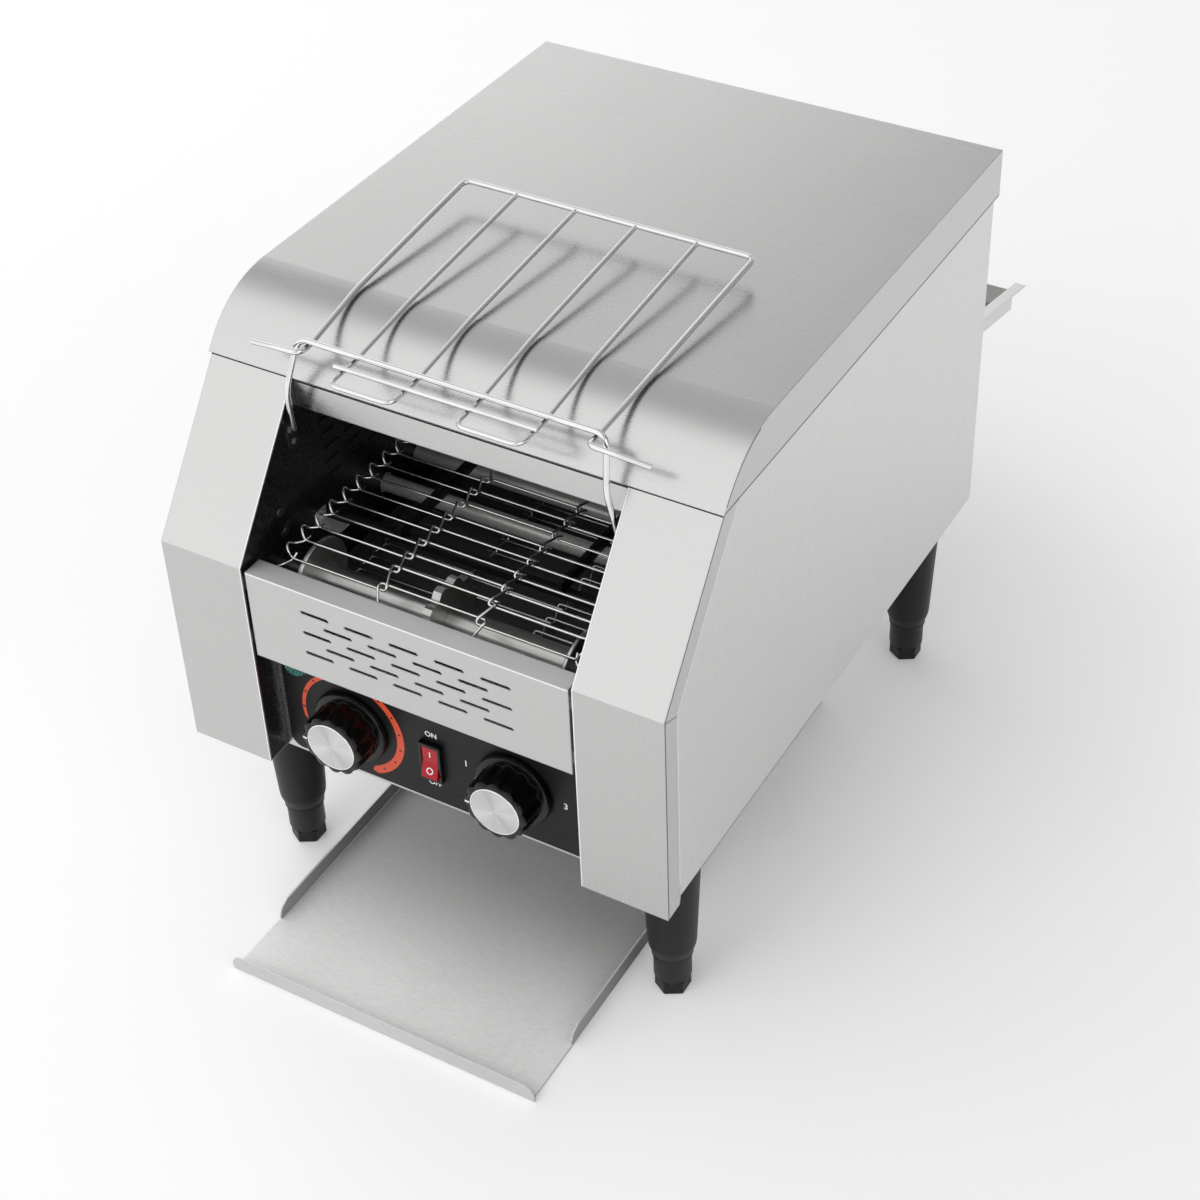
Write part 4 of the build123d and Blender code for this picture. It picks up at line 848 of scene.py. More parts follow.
@dataclass
class Rack(SubAssembly):
    """Bread rack and its goal-post, both of bent round wire."""

    sides: int = 14
    post_mm: float = 3.9
    frame_mm: float = 3.6
    inner_mm: float = 3.0
    back: Pair = (-42.0, 449.0)
    lean: Pair = (-172.0, Size.cover_top + Size.rod / 2 + 0.4)
    front_y: float = -257.0
    hook_x: float = 101.0
    loops: tuple[Pair, ...] = ((-66.6, -22.2), (22.2, 66.6))

    def post(self) -> None:
        """Bend the post and flatten its feet onto the mouth's side walls."""
        y, z = Size.bar
        shell, feet = Shell(), Shell()
        path = mirrored([(Size.bar_half, y, z), (113.0, y - 11, 400.0), (116.5, y - 5, 366.0)])
        shell.wire(rounded(path, 8.0, 6), self.post_mm / 2, self.sides)
        self.keep(shell.build("rack_post_wire"), CHROME, "rack_post", stands_in=True)
        for way in WAYS:
            feet.slab(softened(y - 10, y, 351, 371, 4.0), "X", *span(way, 118.0, Size.mouth_half))
            for centre in ((y - 6.4, 366.0), (y - 4.0, 356.0)):
                feet.turned(centre, "X", outward(way, [(3.4, 118.0), (3.2, 117.0), (2.2, 115.9)]), 20)
        self.keep(feet.build("rack_post_feet", 35), BLACK_SCREW, "rack_post")

    def rack(self) -> None:
        """Bend the rack's frame, loops, hooks and cross wire."""
        y, z = Size.bar
        ahead, low = y - 10.0, z - 4.3
        x = self.hook_x
        side = [(107.0, *self.back), (x + 3.5, *self.lean), (x, y + 1.5, z - 4.4), (x, ahead, z - 3.0),
                (x + 16, ahead, z - 3.5), (140.0, ahead + 5.0, z - 9.0)]
        shell = Shell()
        shell.wire(rounded(mirrored(side), 6.5, 5), self.frame_mm / 2, self.sides)
        for x0, x1 in self.loops:
            leg = [self.back, self.lean, (y, low), (self.front_y, low)]
            loop = [(x0, *place) for place in leg] + [(x1, *place) for place in leg[::-1]]
            path = rounded(loop[:4], 5.0)[:-1] + rounded(loop[2:6], 7.5, 6)[1:-1] + rounded(loop[4:], 5.0)[1:]
            shell.wire(path, self.inner_mm / 2, self.sides)
        shell.wire([(x, y - 13, low + 2.9) for x in (-72, 70)], self.inner_mm / 2, self.sides)
        self.keep(shell.build("rack_wires"), CHROME, "wire_rack", "bread_rack", True)

    def build(self) -> None:
        """Make both."""
        self.post()
        self.rack()


@dataclass
class Rollers(SubAssembly):
    """Front roller and rear belt shaft, both round, with their toothed wheels."""

    axle_r: float = 5.0
    axle_end: float = 131.0
    tooth_tip: float = 31.2
    tooth_root: float = 27.7
    wheel_wide: float = 6.0
    wheels_x: Point = (-88.0, 0.0, 88.0)
    disc_x: float = 97.0
    disc_wide: float = 3.0
    tube_end: float = 98.0
    tube_r: float = 11.0
    rear_r: float = 10.0
    hub_r: float = 9.0
    ease: float = 0.8
    chain_x: float = 161.0
    chain_wide: float = 4.0
    chain_teeth: int = 14
    chain_pitch: float = 9.525
    chain_drop_deg: float = 35.0

    def wheel(self, shell: Shell, y: float, first: float, teeth: int, tooth: Sequence[Pair], x: Pair) -> None:
        """Add a toothed wheel.

        Args:
            shell: Where it goes.
            y: Its axis.
            first: Angle of its first gullet.
            teeth: Number of teeth.
            tooth: (share of a tooth from its middle, radius) round one tooth.
            x: Its two ends.
        """
        step = 2 * math.pi / teeth
        outline = [polar((y, Size.axle_z), radius, first + (k + 0.5 + turn) * step)
                   for k in range(teeth) for turn, radius in tooth]
        shell.slab(outline, "X", *x)

    def belt_wheel(self, shell: Shell, x: float, y: float) -> None:
        """Add a twelve-tooth wheel with rounded gullets that cradle the rods.

        Args:
            shell: Where it goes.
            x: Its middle across the belt.
            y: Its axis.
        """
        aside = (Size.pitch + Size.hook if abs(x) < Size.bend_x else -Size.hook) - Size.pitch / 2
        reach = math.hypot(Size.pitch_r * math.cos(math.pi / Size.teeth), aside)
        first = math.pi / 2 - math.pi / Size.teeth - math.asin(aside / reach)
        tip, root = self.tooth_tip, self.tooth_root
        tooth = ((-0.17, tip - 0.5), (-0.12, tip), (0.12, tip), (0.17, tip - 0.5), (0.40, root + 0.5),
                 (0.5, root), (0.60, root + 0.5))
        self.wheel(shell, y, first, Size.teeth, tooth, (x - self.wheel_wide / 2, x + self.wheel_wide / 2))

    def front(self) -> None:
        """Turn the front roller with its end discs and middle wheel."""
        centre = (Size.idler_y, Size.axle_z)
        tube, discs = Shell(), Shell()
        half = [(self.tube_r, self.tube_end - self.ease), (self.tube_r - self.ease, self.tube_end),
                (self.axle_r, self.tube_end), (self.axle_r, self.axle_end)]
        tube.turned(centre, "X", [(r, -x) for r, x in half[::-1]] + half, 48)
        self.belt_wheel(tube, 0.0, Size.idler_y)
        self.keep(tube.build("roller_tube", 35), ROLLER_STEEL, "idler_roller", "front_belt_roller", True)
        rim, ease = self.tooth_root - 0.2, 0.7
        for way in WAYS:
            low, high = span(way, self.disc_x - self.disc_wide / 2, self.disc_x + self.disc_wide / 2)
            discs.turned(centre, "X", [(self.tube_r, low), (rim - ease, low), (rim, low + ease),
                                       (rim, high - ease), (rim - ease, high), (self.tube_r, high)], 72)
        self.keep(discs.build("roller_discs", 35), ROLLER_STEEL, "idler_roller", "front_belt_roller")

    def rear(self) -> None:
        """Turn the rear shaft with its belt wheels and chain sprocket."""
        y, x = Size.drive_y, self.chain_x
        shell = Shell()
        shell.turned((y, Size.axle_z), "X", [
            (self.axle_r - 0.5, -self.axle_end), (self.axle_r, 0.5 - self.axle_end),
            (self.axle_r, -self.tube_end), (self.rear_r, -self.tube_end), (self.rear_r, self.tube_end),
            (self.axle_r, self.tube_end),
            (self.axle_r, x - 6), (self.hub_r, x - 6), (self.hub_r, x + 0.5), (self.axle_r, x + 0.5),
            (self.axle_r, x + 9)], 40)
        for wheel_x in self.wheels_x:
            self.belt_wheel(shell, wheel_x, y)
        pitch_r = self.chain_pitch / 2 / math.sin(math.pi / self.chain_teeth)
        tooth = [(turn, pitch_r + grow)
                 for turn, grow in ((-0.28, -2.4), (-0.12, 1.6), (0.12, 1.6), (0.28, -2.4))]
        first = math.radians(self.chain_drop_deg) + math.pi / 2
        self.wheel(shell, y, first, self.chain_teeth, tooth, (x, x + self.chain_wide))
        self.keep(shell.build("rear_shaft_steel", 35), ROLLER_STEEL, "drive_shaft", "rear_belt_shaft", True)

    def build(self) -> None:
        """Make both shafts."""
        self.front()
        self.rear()


@dataclass
class Rails(SubAssembly):
    """Skid rails under the belt, their cross bars and the bright clips on the walls."""

    inside: float = Size.wall - 0.1
    top: float = 293.48
    x: float = 60.0
    ends: Pair = (-214.0, 58.0)
    clip: tuple[Pair, ...] = (
        (0.0, 10.0), (0.0, 0.6), (0.6, 0.0), (18.5, 0.0), (19.3, 0.8), (19.3, 1.8), (18.4, 1.8), (17.9, 1.0),
        (1.6, 1.0), (1.0, 1.6), (1.0, 10.0))      # (from the wall, height)

    def build(self) -> None:
        """Fold and join all of it."""
        dark, bright = Shell(), Shell()
        front, rear = self.ends
        for x in (-self.x, self.x):
            dark.slab(softened(x - 2, x + 2, self.top - 9, self.top, 0.8), "Y", front, rear)
        for y in (front + 6, rear - 6):
            bar = softened(y - 3, y + 3, self.top - 15, self.top - 8, 1.0)
            dark.slab(bar, "X", -self.inside, self.inside)
        self.keep(dark.build("rail_bars"), SCORCHED, "belt_rails", stands_in=True)
        reach, low = self.inside, self.top - 15
        for way in WAYS:
            fold = [(way * (reach - deep), low + high) for deep, high in self.clip]
            bright.slab(fold, "Y", front - 8, front + 4)
            for rings, segments in (((4.4, 1.0), (4.4, 2.0)), 24), (((2.6, 2.0), (2.2, 4.2)), 18):
                profile = outward(way, [(radius, reach - deep) for radius, deep in rings])
                bright.turned((front - 2, low + 6.2), "X", profile, segments)
        self.keep(bright.build("rail_clips", 25), CLIP_STEEL, "belt_rails")


@dataclass
class Heaters(SubAssembly):
    """Frosted quartz tubes with their metal end caps."""

    radius: float = 6.0
    half: float = 128.7
    rows: tuple[tuple[str, float, tuple[float, ...]], ...] = (
        ("lower_heating_tubes", 262.0, (-143.0, -103.0, -23.0, 17.0)),
        ("upper_heating_tubes", 370.0, (-163.0, -103.0, -43.0, 17.0)))

    def build(self) -> None:
        """Make both rows."""
        for node, z, places in self.rows:
            glass, caps = Shell(), Shell()
            for y in places:
                glass.turned((y, z), "X", [(self.radius, 6 - self.half), (self.radius, self.half - 6)], 32)
                for way in WAYS:
                    rings = [(self.radius - 0.4, self.half - 6.5), (self.radius - 0.4, self.half)]
                    caps.turned((y, z), "X", outward(way, rings), 24)
            self.keep(glass.build(node + "_glass", 40), QUARTZ, node, stands_in=True)
            self.keep(caps.build(node + "_caps", 40), STEEL_PLAIN, node)


@dataclass
class Legs(SubAssembly):
    """Round tapered legs with hexagonal levelling feet."""

    x: float = 150.0
    y: Pair = (-239.0, 143.5)
    foot_r: float = 13.0
    foot_top: float = 62.0
    hex_r: float = 12.5
    outside: tuple[Pair, ...] = (
        (20.5, Size.body_low), (20.4, Size.body_low - 8), (18.4, 88.0), (16.6, 46.0), (16.2, 42.5),
        (15.5, 40.0), (14.4, 36.6), (14.15, 35.6), (14.1, 35.0), (14.1, 32.6), (13.7, 32.0))
    hexagon: tuple[Pair, ...] = ((0.0, 0.965), (0.5, 1.0), (9.6, 1.0), (10.4, 0.94))  # (height, scale)

    def foot(self, corner: str, x: float, y: float) -> None:
        """Turn the foot's barrel and cut its hexagon.

        Args:
            corner: Corner it stands at.
            x: Axis place.
            y: Axis place.
        """
        shell = Shell()
        r, top = self.foot_r - 0.02, self.foot_top
        shell.turned((x, y), "Z", [(0.5, top), (r - 0.6, top), (r, top - 0.6), (r, 12.6), (r - 0.3, 12.0),
                                   (r - 1.5, 10.6), (r - 1.8, 10.2), (r - 1.8, 9.5)], 48)
        corners = [polar((0.0, 0.0), self.hex_r, math.pi * (2 * k + 1) / 6) for k in range(6)]
        ring = []
        for k, (a, b) in enumerate(corners):
            for u, v in (corners[k - 1], corners[(k + 1) % 6]):
                share = 0.5 / math.dist((a, b), (u, v))
                ring.append((a + (u - a) * share, b + (v - b) * share))
        shell.stack([(x + a * size, y + b * size, z) for z, size in self.hexagon for a, b in ring], len(ring))
        node = corner + "_foot"
        self.keep(shell.build(node + "_turned", 28), LEG_PLASTIC, node, corner + "_leveller", True)

    def build(self) -> None:
        """Make four hollow legs and four feet."""
        shell = Shell()
        bore = self.foot_r + 0.15
        inside = [(bore, 32.0), (bore, self.foot_top + 3), (0.5, self.foot_top + 3)]
        for x in (-self.x, self.x):
            for y in self.y:
                shell.turned((x, y), "Z", [*self.outside, *inside], 56)
        self.keep(shell.build("legs_turned", 28), LEG_PLASTIC, "legs", stands_in=True)
        for side, x in (("left", -self.x), ("right", self.x)):
            for end, y in zip(("front", "rear"), self.y):
                self.foot(f"{end}_{side}", x, y)


@dataclass
class Gland(SubAssembly):
    """Round cable gland on the rear panel."""

    centre: Pair = (-160.0, 226.0)
    profile: tuple[Pair, ...] = (
        (4.5, -14.0), (9.6, -14.0), (10.0, -13.4), (10.0, 0.0), (12.6, 0.0), (13.0, 0.6), (13.0, 4.2),
        (12.2, 5.0), (8.2, 5.0), (8.0, 13.2), (7.2, 14.6), (5.6, 15.0), (4.8, 14.6), (4.5, 14.0),
        (4.5, -14.0))

    def build(self) -> None:
        """Turn the gland round its open bore."""
        shell = Shell()
        shell.turned(self.centre, "Y", [(r, Size.back + out) for r, out in self.profile], 40, capped=False)
        self.keep(shell.build("gland_turned", 28), BLACK_PLASTIC, "cord_gland", stands_in=True)


@dataclass
class Knob(SubAssembly):
    """Fluted control knob with its spun cap and white index marks.

    Args:
        kind: "speed" or "selector".
        x: Place of its axis.
        lobes: Number of flutes.
        flute: Depth of a flute, how narrow its lobes are, and the radius that its depth is for.
        skirt: (radius, distance in front of the panel).
        grip: (radius, distance behind the cap's face).
        cap: The same of the cap.
        rim: The same of the cap's cut rim.
        marks: Ends of each white mark and its Y; both lie left of the axis.
    """

    kind: str = "speed"
    x: float = 0.0
    lobes: int = 12
    flute: Point = (2.0, 1.6, 22.5)
    skirt: tuple[Pair, ...] = ((26.0, 0.4), (27.5, 1.0), (27.5, 3.4), (26.6, 4.8), (24.6, 5.4), (20.0, 5.4))
    grip: tuple[Pair, ...] = ((22.9, 20.0), (22.8, 18.0), (22.6, 3.0), (22.4, 1.4), (21.9, 0.6), (21.2, 0.35),
                              (18.2, 0.35))
    cap: tuple[Pair, ...] = ((17.2, 1.0), (17.2, 0.05), (0.4, 0.05))
    rim: tuple[Pair, ...] = ((18.0, 1.0), (18.0, 0.15), (17.8, -0.1), (17.4, -0.15), (17.2, 0.05))
    marks: tuple[Point, ...] = ((21.9, 18.6, Size.knob_front + 0.2), (26.6, 23.0, Size.panel_y - 5.6))

    def fluted(self, radius: float, angle: float) -> float:
        """Radius of the scalloped grip."""
        deep, narrow, full = self.flute
        return radius - deep * (0.5 - 0.5 * math.cos(self.lobes * angle)) ** narrow * (radius / full)

    def build(self) -> None:
        """Turn the skirt, grip and cap."""
        node, body, front, z = self.kind + "_knob", self.kind + "_control", Size.knob_front, Size.knob_z
        centre = (self.x, z)
        grip, cap, rim, marks = Shell(), Shell(), Shell(), Shell()
        grip.turned(centre, "Y", [(r, Size.panel_y - out) for r, out in self.skirt], 64)
        grip.turned(centre, "Y", [(r, front + deep) for r, deep in self.grip], 144, self.fluted)
        self.keep(grip.build(node + "_grip", 40), BLACK_PLASTIC, node, body, True)
        cap.turned((0.0, 0.0), "Y", self.cap, 96)
        disc = cap.build(node + "_disc")      # its own origin centres the spun rings
        disc.location = Vector((self.x, front, z)) * MM
        self.keep(disc, SPUN_CAP, node + "_cap", body, True)
        rim.turned(centre, "Y", [(r, front + deep) for r, deep in self.rim], 96, capped=False)
        self.keep(rim.build(node + "_cap_rim", 50), CUT_RIM, node + "_cap", body)
        for far, near, y in self.marks:
            marks.slab(rect(self.x - far, self.x - near, z - 0.7, z + 0.7), "Y", y, y + 1.0)
        self.keep(marks.build(node + "_marks"), PRINT_WHITE, node + "_pointer", body, True)


@dataclass
class ControlFace(SubAssembly):
    """Printing on the control panel, the rocker's signs and the lamp's lens."""

    face: float = Size.panel_y - 0.12
    scale_deg: Pair = (196.0, -70.0)
    scale_r: float = 40.0
    scale_steps: int = 72
    ticks: int = 12
    letter_scale: float = 1.38        # size of the face per letter height
    letter_bold: float = 0.026        # how much its strokes grow, per letter height
    ink_mm: float = 0.03
    lens_r: float = 9.4
    lens_rim: float = 2.2
    lens_high: float = 5.8
    lens_turns: tuple[float, ...] = (0.35, 0.7, 1.05, 1.4)
    lens_margin: float = 1.1
    facet_r: float = 1.27
    facet_step: Pair = (2.2, 2.2 * 0.87)
    facet_rows: int = 5
    facet_base: float = 2.1
    facet_tip: float = 3.2
    paddle_tip_deg: float = -7.0
    paddle_pivot: float = 1.5         # behind the panel
    paddle_face: float = 4.9          # in front of the pivot, at the middle
    paddle_fall: float = 1.6 / 12.2
    sign_bar: Point = (0.45, 4.0, 8.6)          # half width and both ends of the I
    sign_ring: Point = (2.6, 1.8, -6.6)         # both radii and the middle of the O
    sign_segments: int = 24
    labels: tuple[tuple[str, str, float, float, float], ...] = (
        ("label_on", "ON", 0.0, 194.5, 4.2), ("label_off", "OFF", 0.0, 152.5, 4.2),
        ("label_one", "1", 25.5, 181.0, 5.0), ("label_two", "2", 62.0, 211.0, 5.0),
        ("label_three", "3", 99.0, 177.0, 5.0))       # name, words, X, Z, letter height

    def text(self, name: str, words: str, x: float, z: float, size: float) -> None:
        """Set a line of plain text on the panel.

        Args:
            name: Object name.
            words: The text.
            x: Centre.
            z: Centre height.
            size: Letter height.
        """
        curve = bpy.data.curves.new(name + "_text", "FONT")
        curve.body = words
        curve.size = size * self.letter_scale * MM
        curve.align_x = curve.align_y = "CENTER"
        curve.extrude = self.ink_mm * MM
        curve.offset = size * self.letter_bold * MM
        maker = linked(name + "_text", curve)
        bpy.context.view_layer.update()
        mesh = bpy.data.meshes.new_from_object(maker)
        bpy.data.objects.remove(maker)
        upright = Matrix.Rotation(math.pi / 2, 4, "X")
        mesh.transform(Matrix.Translation(Vector((x, self.face, z)) * MM) @ upright)
        self.keep(linked(name, mesh), PRINT_WHITE, "control_overlay")

    def scale_at(self, share: float) -> Pair:
        """Shape of the speed scale, which widens clockwise."""
        start, stop = (math.radians(turn) for turn in self.scale_deg)
        return start + (stop - start) * share, 2.4 + 4.2 * share

    def scale(self) -> None:
        """Print the orange speed scale with its dark ticks."""
        x0, z0 = -Size.knob_x, Size.knob_z
        arc, ticks = Shell(), Shell()
        outer, inner = [], []
        for t in (k / self.scale_steps for k in range(self.scale_steps + 1)):
            a, wide = self.scale_at(t)
            past = max((t - 0.97) / 0.03, (0.02 - t) / 0.02, 0.0)      # into a rounded end
            half = wide / 2 * math.sqrt(max(1 - past ** 2, 0.02))
            outer.append(polar((x0, z0), self.scale_r - wide / 2 + half, a))
            inner.append(polar((x0, z0), self.scale_r - wide / 2 - half, a))
        count = len(outer)
        arc.add([(x, self.face, z) for x, z in outer + inner],
                [(k, k + 1, count + k + 1, count + k) for k in range(count - 1)])
        self.keep(arc.build("speed_scale"), PRINT_ORANGE, "control_overlay")
        for k in range(self.ticks):
            a, wide = self.scale_at(0.06 + 0.88 * k / (self.ticks - 1))
            corners = [polar(polar((x0, z0), self.scale_r - wide / 2 + u, a), v, a + math.pi / 2)
                       for u, v in rect(-0.9, 0.9, -0.7, 0.7)]
            ticks.add([(x, self.face - 0.05, z) for x, z in corners], [(0, 1, 2, 3)])
        self.keep(ticks.build("speed_ticks"), PRINT_DARK, "control_overlay")

    def lamp(self) -> None:
        """Make the lamp's lens as a dome of small pyramids."""
        x0, z0 = Size.lamp
        y, radius, high = Size.panel_y, self.lens_r, self.lens_high
        lens = Shell()
        rim = y - self.lens_rim
        dome = [(radius * math.cos(turn), rim - high * math.sin(turn)) for turn in self.lens_turns]
        lens.turned((x0, z0), "Y", [(radius, y), (radius, rim), *dome], 36)
        step_x, step_z = self.facet_step
        places = range(-self.facet_rows, self.facet_rows + 1)
        for row in places:
            for col in places:
                x, z = x0 + (col + 0.5 * (row % 2)) * step_x, z0 + row * step_z
                out = math.dist((x, z), (x0, z0))
                if out > radius - self.lens_margin:
                    continue
                ring = []
                for k in range(6):
                    u, v = polar((x, z), self.facet_r, math.radians(30 + 60 * k))
                    far = min(math.dist((u, v), (x0, z0)) / radius, 0.995)
                    ring.append((u, y - self.facet_base - high * math.sqrt(1 - far * far), v))
                tip = y - self.facet_tip - high * math.sqrt(1 - (out / radius) ** 2)
                lens.add(ring + [(x, tip, z)], [(k, (k + 1) % 6, 6) for k in range(6)])
        self.keep(lens.build("lamp_lens", 5), LAMP_GREEN, "pilot_lamp", stands_in=True)

    def rocker_signs(self) -> None:
        """Print I and O on the rocker's two halves."""
        pivot = Vector((0.0, Size.panel_y + self.paddle_pivot, Size.rocker_z))
        tip = Matrix.Rotation(math.radians(self.paddle_tip_deg), 4, "X")
        fall, count = self.paddle_fall, self.sign_segments
        wide, low, high = self.sign_bar
        outer, inner, middle = self.sign_ring
        signs = Shell()

        def place(flat: Iterable[Pair]) -> list[Point]:
            """Put the points of a sign on the paddle."""
            return [tuple(pivot + tip @ Vector((u, -self.paddle_face - fall * abs(v), v))) for u, v in flat]

        signs.add(place(rect(-wide, wide, low, high)), [(0, 1, 2, 3)])
        rings = [polar((0.0, 0.0), radius, 2 * math.pi * k / count)
                 for radius in (outer, inner) for k in range(count)]
        signs.add(place((u, middle + v * math.cos(math.atan(fall))) for u, v in rings),
                  [(a, b, count + b, count + a) for a, b in ring_edges(2, count)])
        self.keep(signs.build("rocker_signs"), PRINT_WHITE, "rocker", "switch_paddle")

    def build(self) -> None:
        """Print everything."""
        self.scale()
        for label in self.labels:
            self.text(*label)
        self.rocker_signs()
        self.lamp()


@dataclass
class Seams(SubAssembly):
    """Painted edge and gap shade, painted bend highlights, and black linings of the mouth as painted shade.

    Args:
        line_mm: Width of a painted edge shadow.
        proud: How far a line stands out of the sheet.
        sunk: How far it goes into the sheet.
        lip_deep: Depth of the cheeks' outer lip.
        lip_low: Lower end of its bend line.
        return_deep: Depth of their fold beside the mouth.
        fascia: Front, top and half width of the fascia.
        guard: The same of the slotted guard.
        tray: Half width, height, start and back of the toast tray's flanges.
        label_foot_z: Lower and upper end of the label's foot.
        label_corner: Radius of its lower corners.
    """

    line_mm: float = 0.9
    proud: float = 0.06
    sunk: float = 0.3
    lip_deep: float = 16.0
    lip_low: float = 152.0
    return_deep: float = 20.4
    fascia: Point = (-225.5, 397.0, 119.4)
    guard: Point = (-298.5, 296.5, 117.0)
    tray: tuple[float, float, float, float] = (117.6, 13.0, -317.5, 60.0)
    label_foot_z: Pair = (136.8, 150.0)
    label_corner: float = 9.0

    def front(self, inset: float, low: float, high: float) -> list[Pair]:
        """Front outline of the body, moved inward.

        Args:
            inset: Distance from the sheet's outer face.
            low: Lower end.
            high: Upper end.

        Returns:
            Points (y, z) from bottom to top.
        """
        y0, z0 = Size.knee
        step = inset * (1 - math.sin(Size.slope)) / math.cos(Size.slope)
        knee = z0 - inset * math.cos(Size.slope) + step * math.sin(Size.slope)
        y = y0 + inset
        return [(y, low), (y, knee), (y + (high - knee) / math.tan(Size.slope), high)]

    def slope_line(self, inset: float, low: float, high: float) -> list[Pair]:
        """Stretch of the front slope between two heights."""
        y, z = self.front(inset, low, high)[1]
        return [(y + (at - z) / math.tan(Size.slope), at) for at in (low, high)]

    def shoulder(self, inset: float, end: float = 0.25, steps: int = 14) -> list[Pair]:
        """Curved shoulder of the cover from its lower edge up.

        Args:
            inset: Distance from the outer face.
            end: Angle at which it ends, from the flat of the cover.
            steps: Segments.

        Returns:
            Points (y, z).
        """
        centre = (Size.shoulder_y, Size.cover_top - Size.shoulder_r)
        turns = (Size.slope + (end - Size.slope) * k / steps for k in range(steps + 1))
        return [polar(centre, Size.shoulder_r - inset, math.pi / 2 + turn) for turn in turns]

    def band(self, shell: Shell, outer: Sequence[Pair], inner: Sequence[Pair], ends: Sequence[float]) -> None:
        """Add a band between two lines on a side of the body, quad by quad."""
        for a, b, c, d in zip(outer, outer[1:], inner, inner[1:]):
            shell.slab([a, b, d, c], "X", *ends)

    def sides(self) -> None:
        """Draw the painted shade lines, painted highlights and painted shade linings of both sides."""
        dark, bright, lining = Shell(), Shell(), Shell()
        low, seam, wide = Size.cheek_low, Size.seam_z, self.line_mm
        tip = Size.shoulder_y - Size.shoulder_r * math.sin(Size.slope) - 1.6

        def strip(shell: Shell, insets: Pair, heights: Pair, ends: Sequence[float]) -> None:
            """Add a band that follows the front outline between two insets and two heights."""
            self.band(shell, *(self.front(inset, *heights) for inset in insets), ends)

        for way in WAYS:
            lip = span(way, Size.cheek_out - self.sunk, Size.cheek_out + self.proud)
            flange = span(way, Size.cover_half - self.sunk, Size.cover_half + self.proud)
            # Painted shadows: dark lines along the cheeks' lips, along the shoulders' edges and under the
            # cover's flanges.
            strip(dark, (0.5, 0.5 + wide), (low + 0.3, seam - 0.3), lip)
            self.band(dark, self.shoulder(0.6), self.shoulder(0.6 + wide * 0.8), flange)
            dark.slab(rect(tip, Size.cover_back - 0.3, Size.flange_low + 0.02, Size.flange_low + 0.8), "X",
                      *flange)
            # Painted highlights: bright lines along the lips' bends and along the cheeks' edges beside the
            # mouth.
            strip(bright, (self.lip_deep - 0.7, self.lip_deep), (self.lip_low, seam - 2.0), lip)
            strip(bright, (-self.proud, self.sunk), (low + 0.3, seam - 0.5),
                  span(way, Size.mouth_half + 0.05, Size.mouth_half + 0.8))
            # Black enamel laid over the cheeks' steel returns beside the mouth: painted shade.
            strip(lining, (1.2, self.return_deep), (low + 1.2, seam - 1.0),
                  span(way, Size.mouth_half - 0.12, Size.mouth_half + 0.1))
        self.keep(dark.build("painted_edge_shade_lines"), PAINTED_EDGE_SHADE, "right_cheek")
        self.keep(bright.build("bend_lines"), PAINTED_BEND_HIGHLIGHT, "left_cheek")
        self.keep(lining.build("mouth_painted_shade_linings"), BLACK_ENAMEL, "left_inner_wall")

    def across(self) -> None:
        """Fill the gap under the cover's front edge with painted shade and paint a highlight along the
        guard's bend.
        """
        gap, bright = Shell(), Shell()
        low, high = Size.seam_z - 0.9, Size.seam_z - 0.02
        for way in WAYS:
            self.band(gap, self.slope_line(-self.proud, low, high), self.slope_line(0.4, low, high),
                      span(way, Size.mouth_half + 0.1, Size.cheek_out - 0.1))
        y, top, half = self.fascia
        gap.slab(rect(y - self.proud, y + self.sunk, top - 1.2, top - 0.02), "X", -half, half)
        self.keep(gap.build("cover_gap"), GAP_SHADE, "opening_fascia")
        y, top, half = self.guard
        bright.slab(rect(y - self.proud, y + 0.8, top - 1.1, top + self.proud), "X", 0.3 - half, half - 0.3)
        self.keep(bright.build("guard_bend"), PAINTED_BEND_HIGHLIGHT, "front_grille")

    def tray_lines(self) -> None:
        """Paint highlights along the upper edges of the toast tray's flanges and along its bends."""
        shell = Shell()
        half, high, start, back = self.tray
        for way in WAYS:
            shell.slab(rect(start + 10.0, back - 0.3, high - 0.5, high + self.proud), "X",
                       *span(way, half - 1.0 - self.proud, half + self.proud))
            shell.slab(rect(start + 1.0, back - 0.3, 0.9, 1.0 + self.proud), "X",
                       *span(way, half - 2.1, half - 1.0))
        self.keep(shell.build("tray_bend_lines"), PAINTED_BEND_HIGHLIGHT, "toast_tray", "front_tray")

    def label_foot(self) -> None:
        """Draw the lower end of the printed label, down to a narrow strip of bare steel."""
        shell = Shell()
        (left, right), (low, high), radius = Size.overlay, self.label_foot_z, self.label_corner
        line = [polar((x, low + radius), radius, math.radians(start + step))
                for x, start in ((left + radius, 180), (right - radius, 270)) for step in range(0, 91, 10)]
        shell.slab(line + [(right, high), (left, high)], "Y", Size.panel_y - 0.06, Size.panel_y + 0.2)
        self.keep(shell.build("label_foot"), LABEL_BLACK, "control_overlay")

    def build(self) -> None:
        """Draw all painted shade lines, painted highlights and shade linings, and the label's foot."""
        self.sides()
        self.across()
        self.tray_lines()
        self.label_foot()


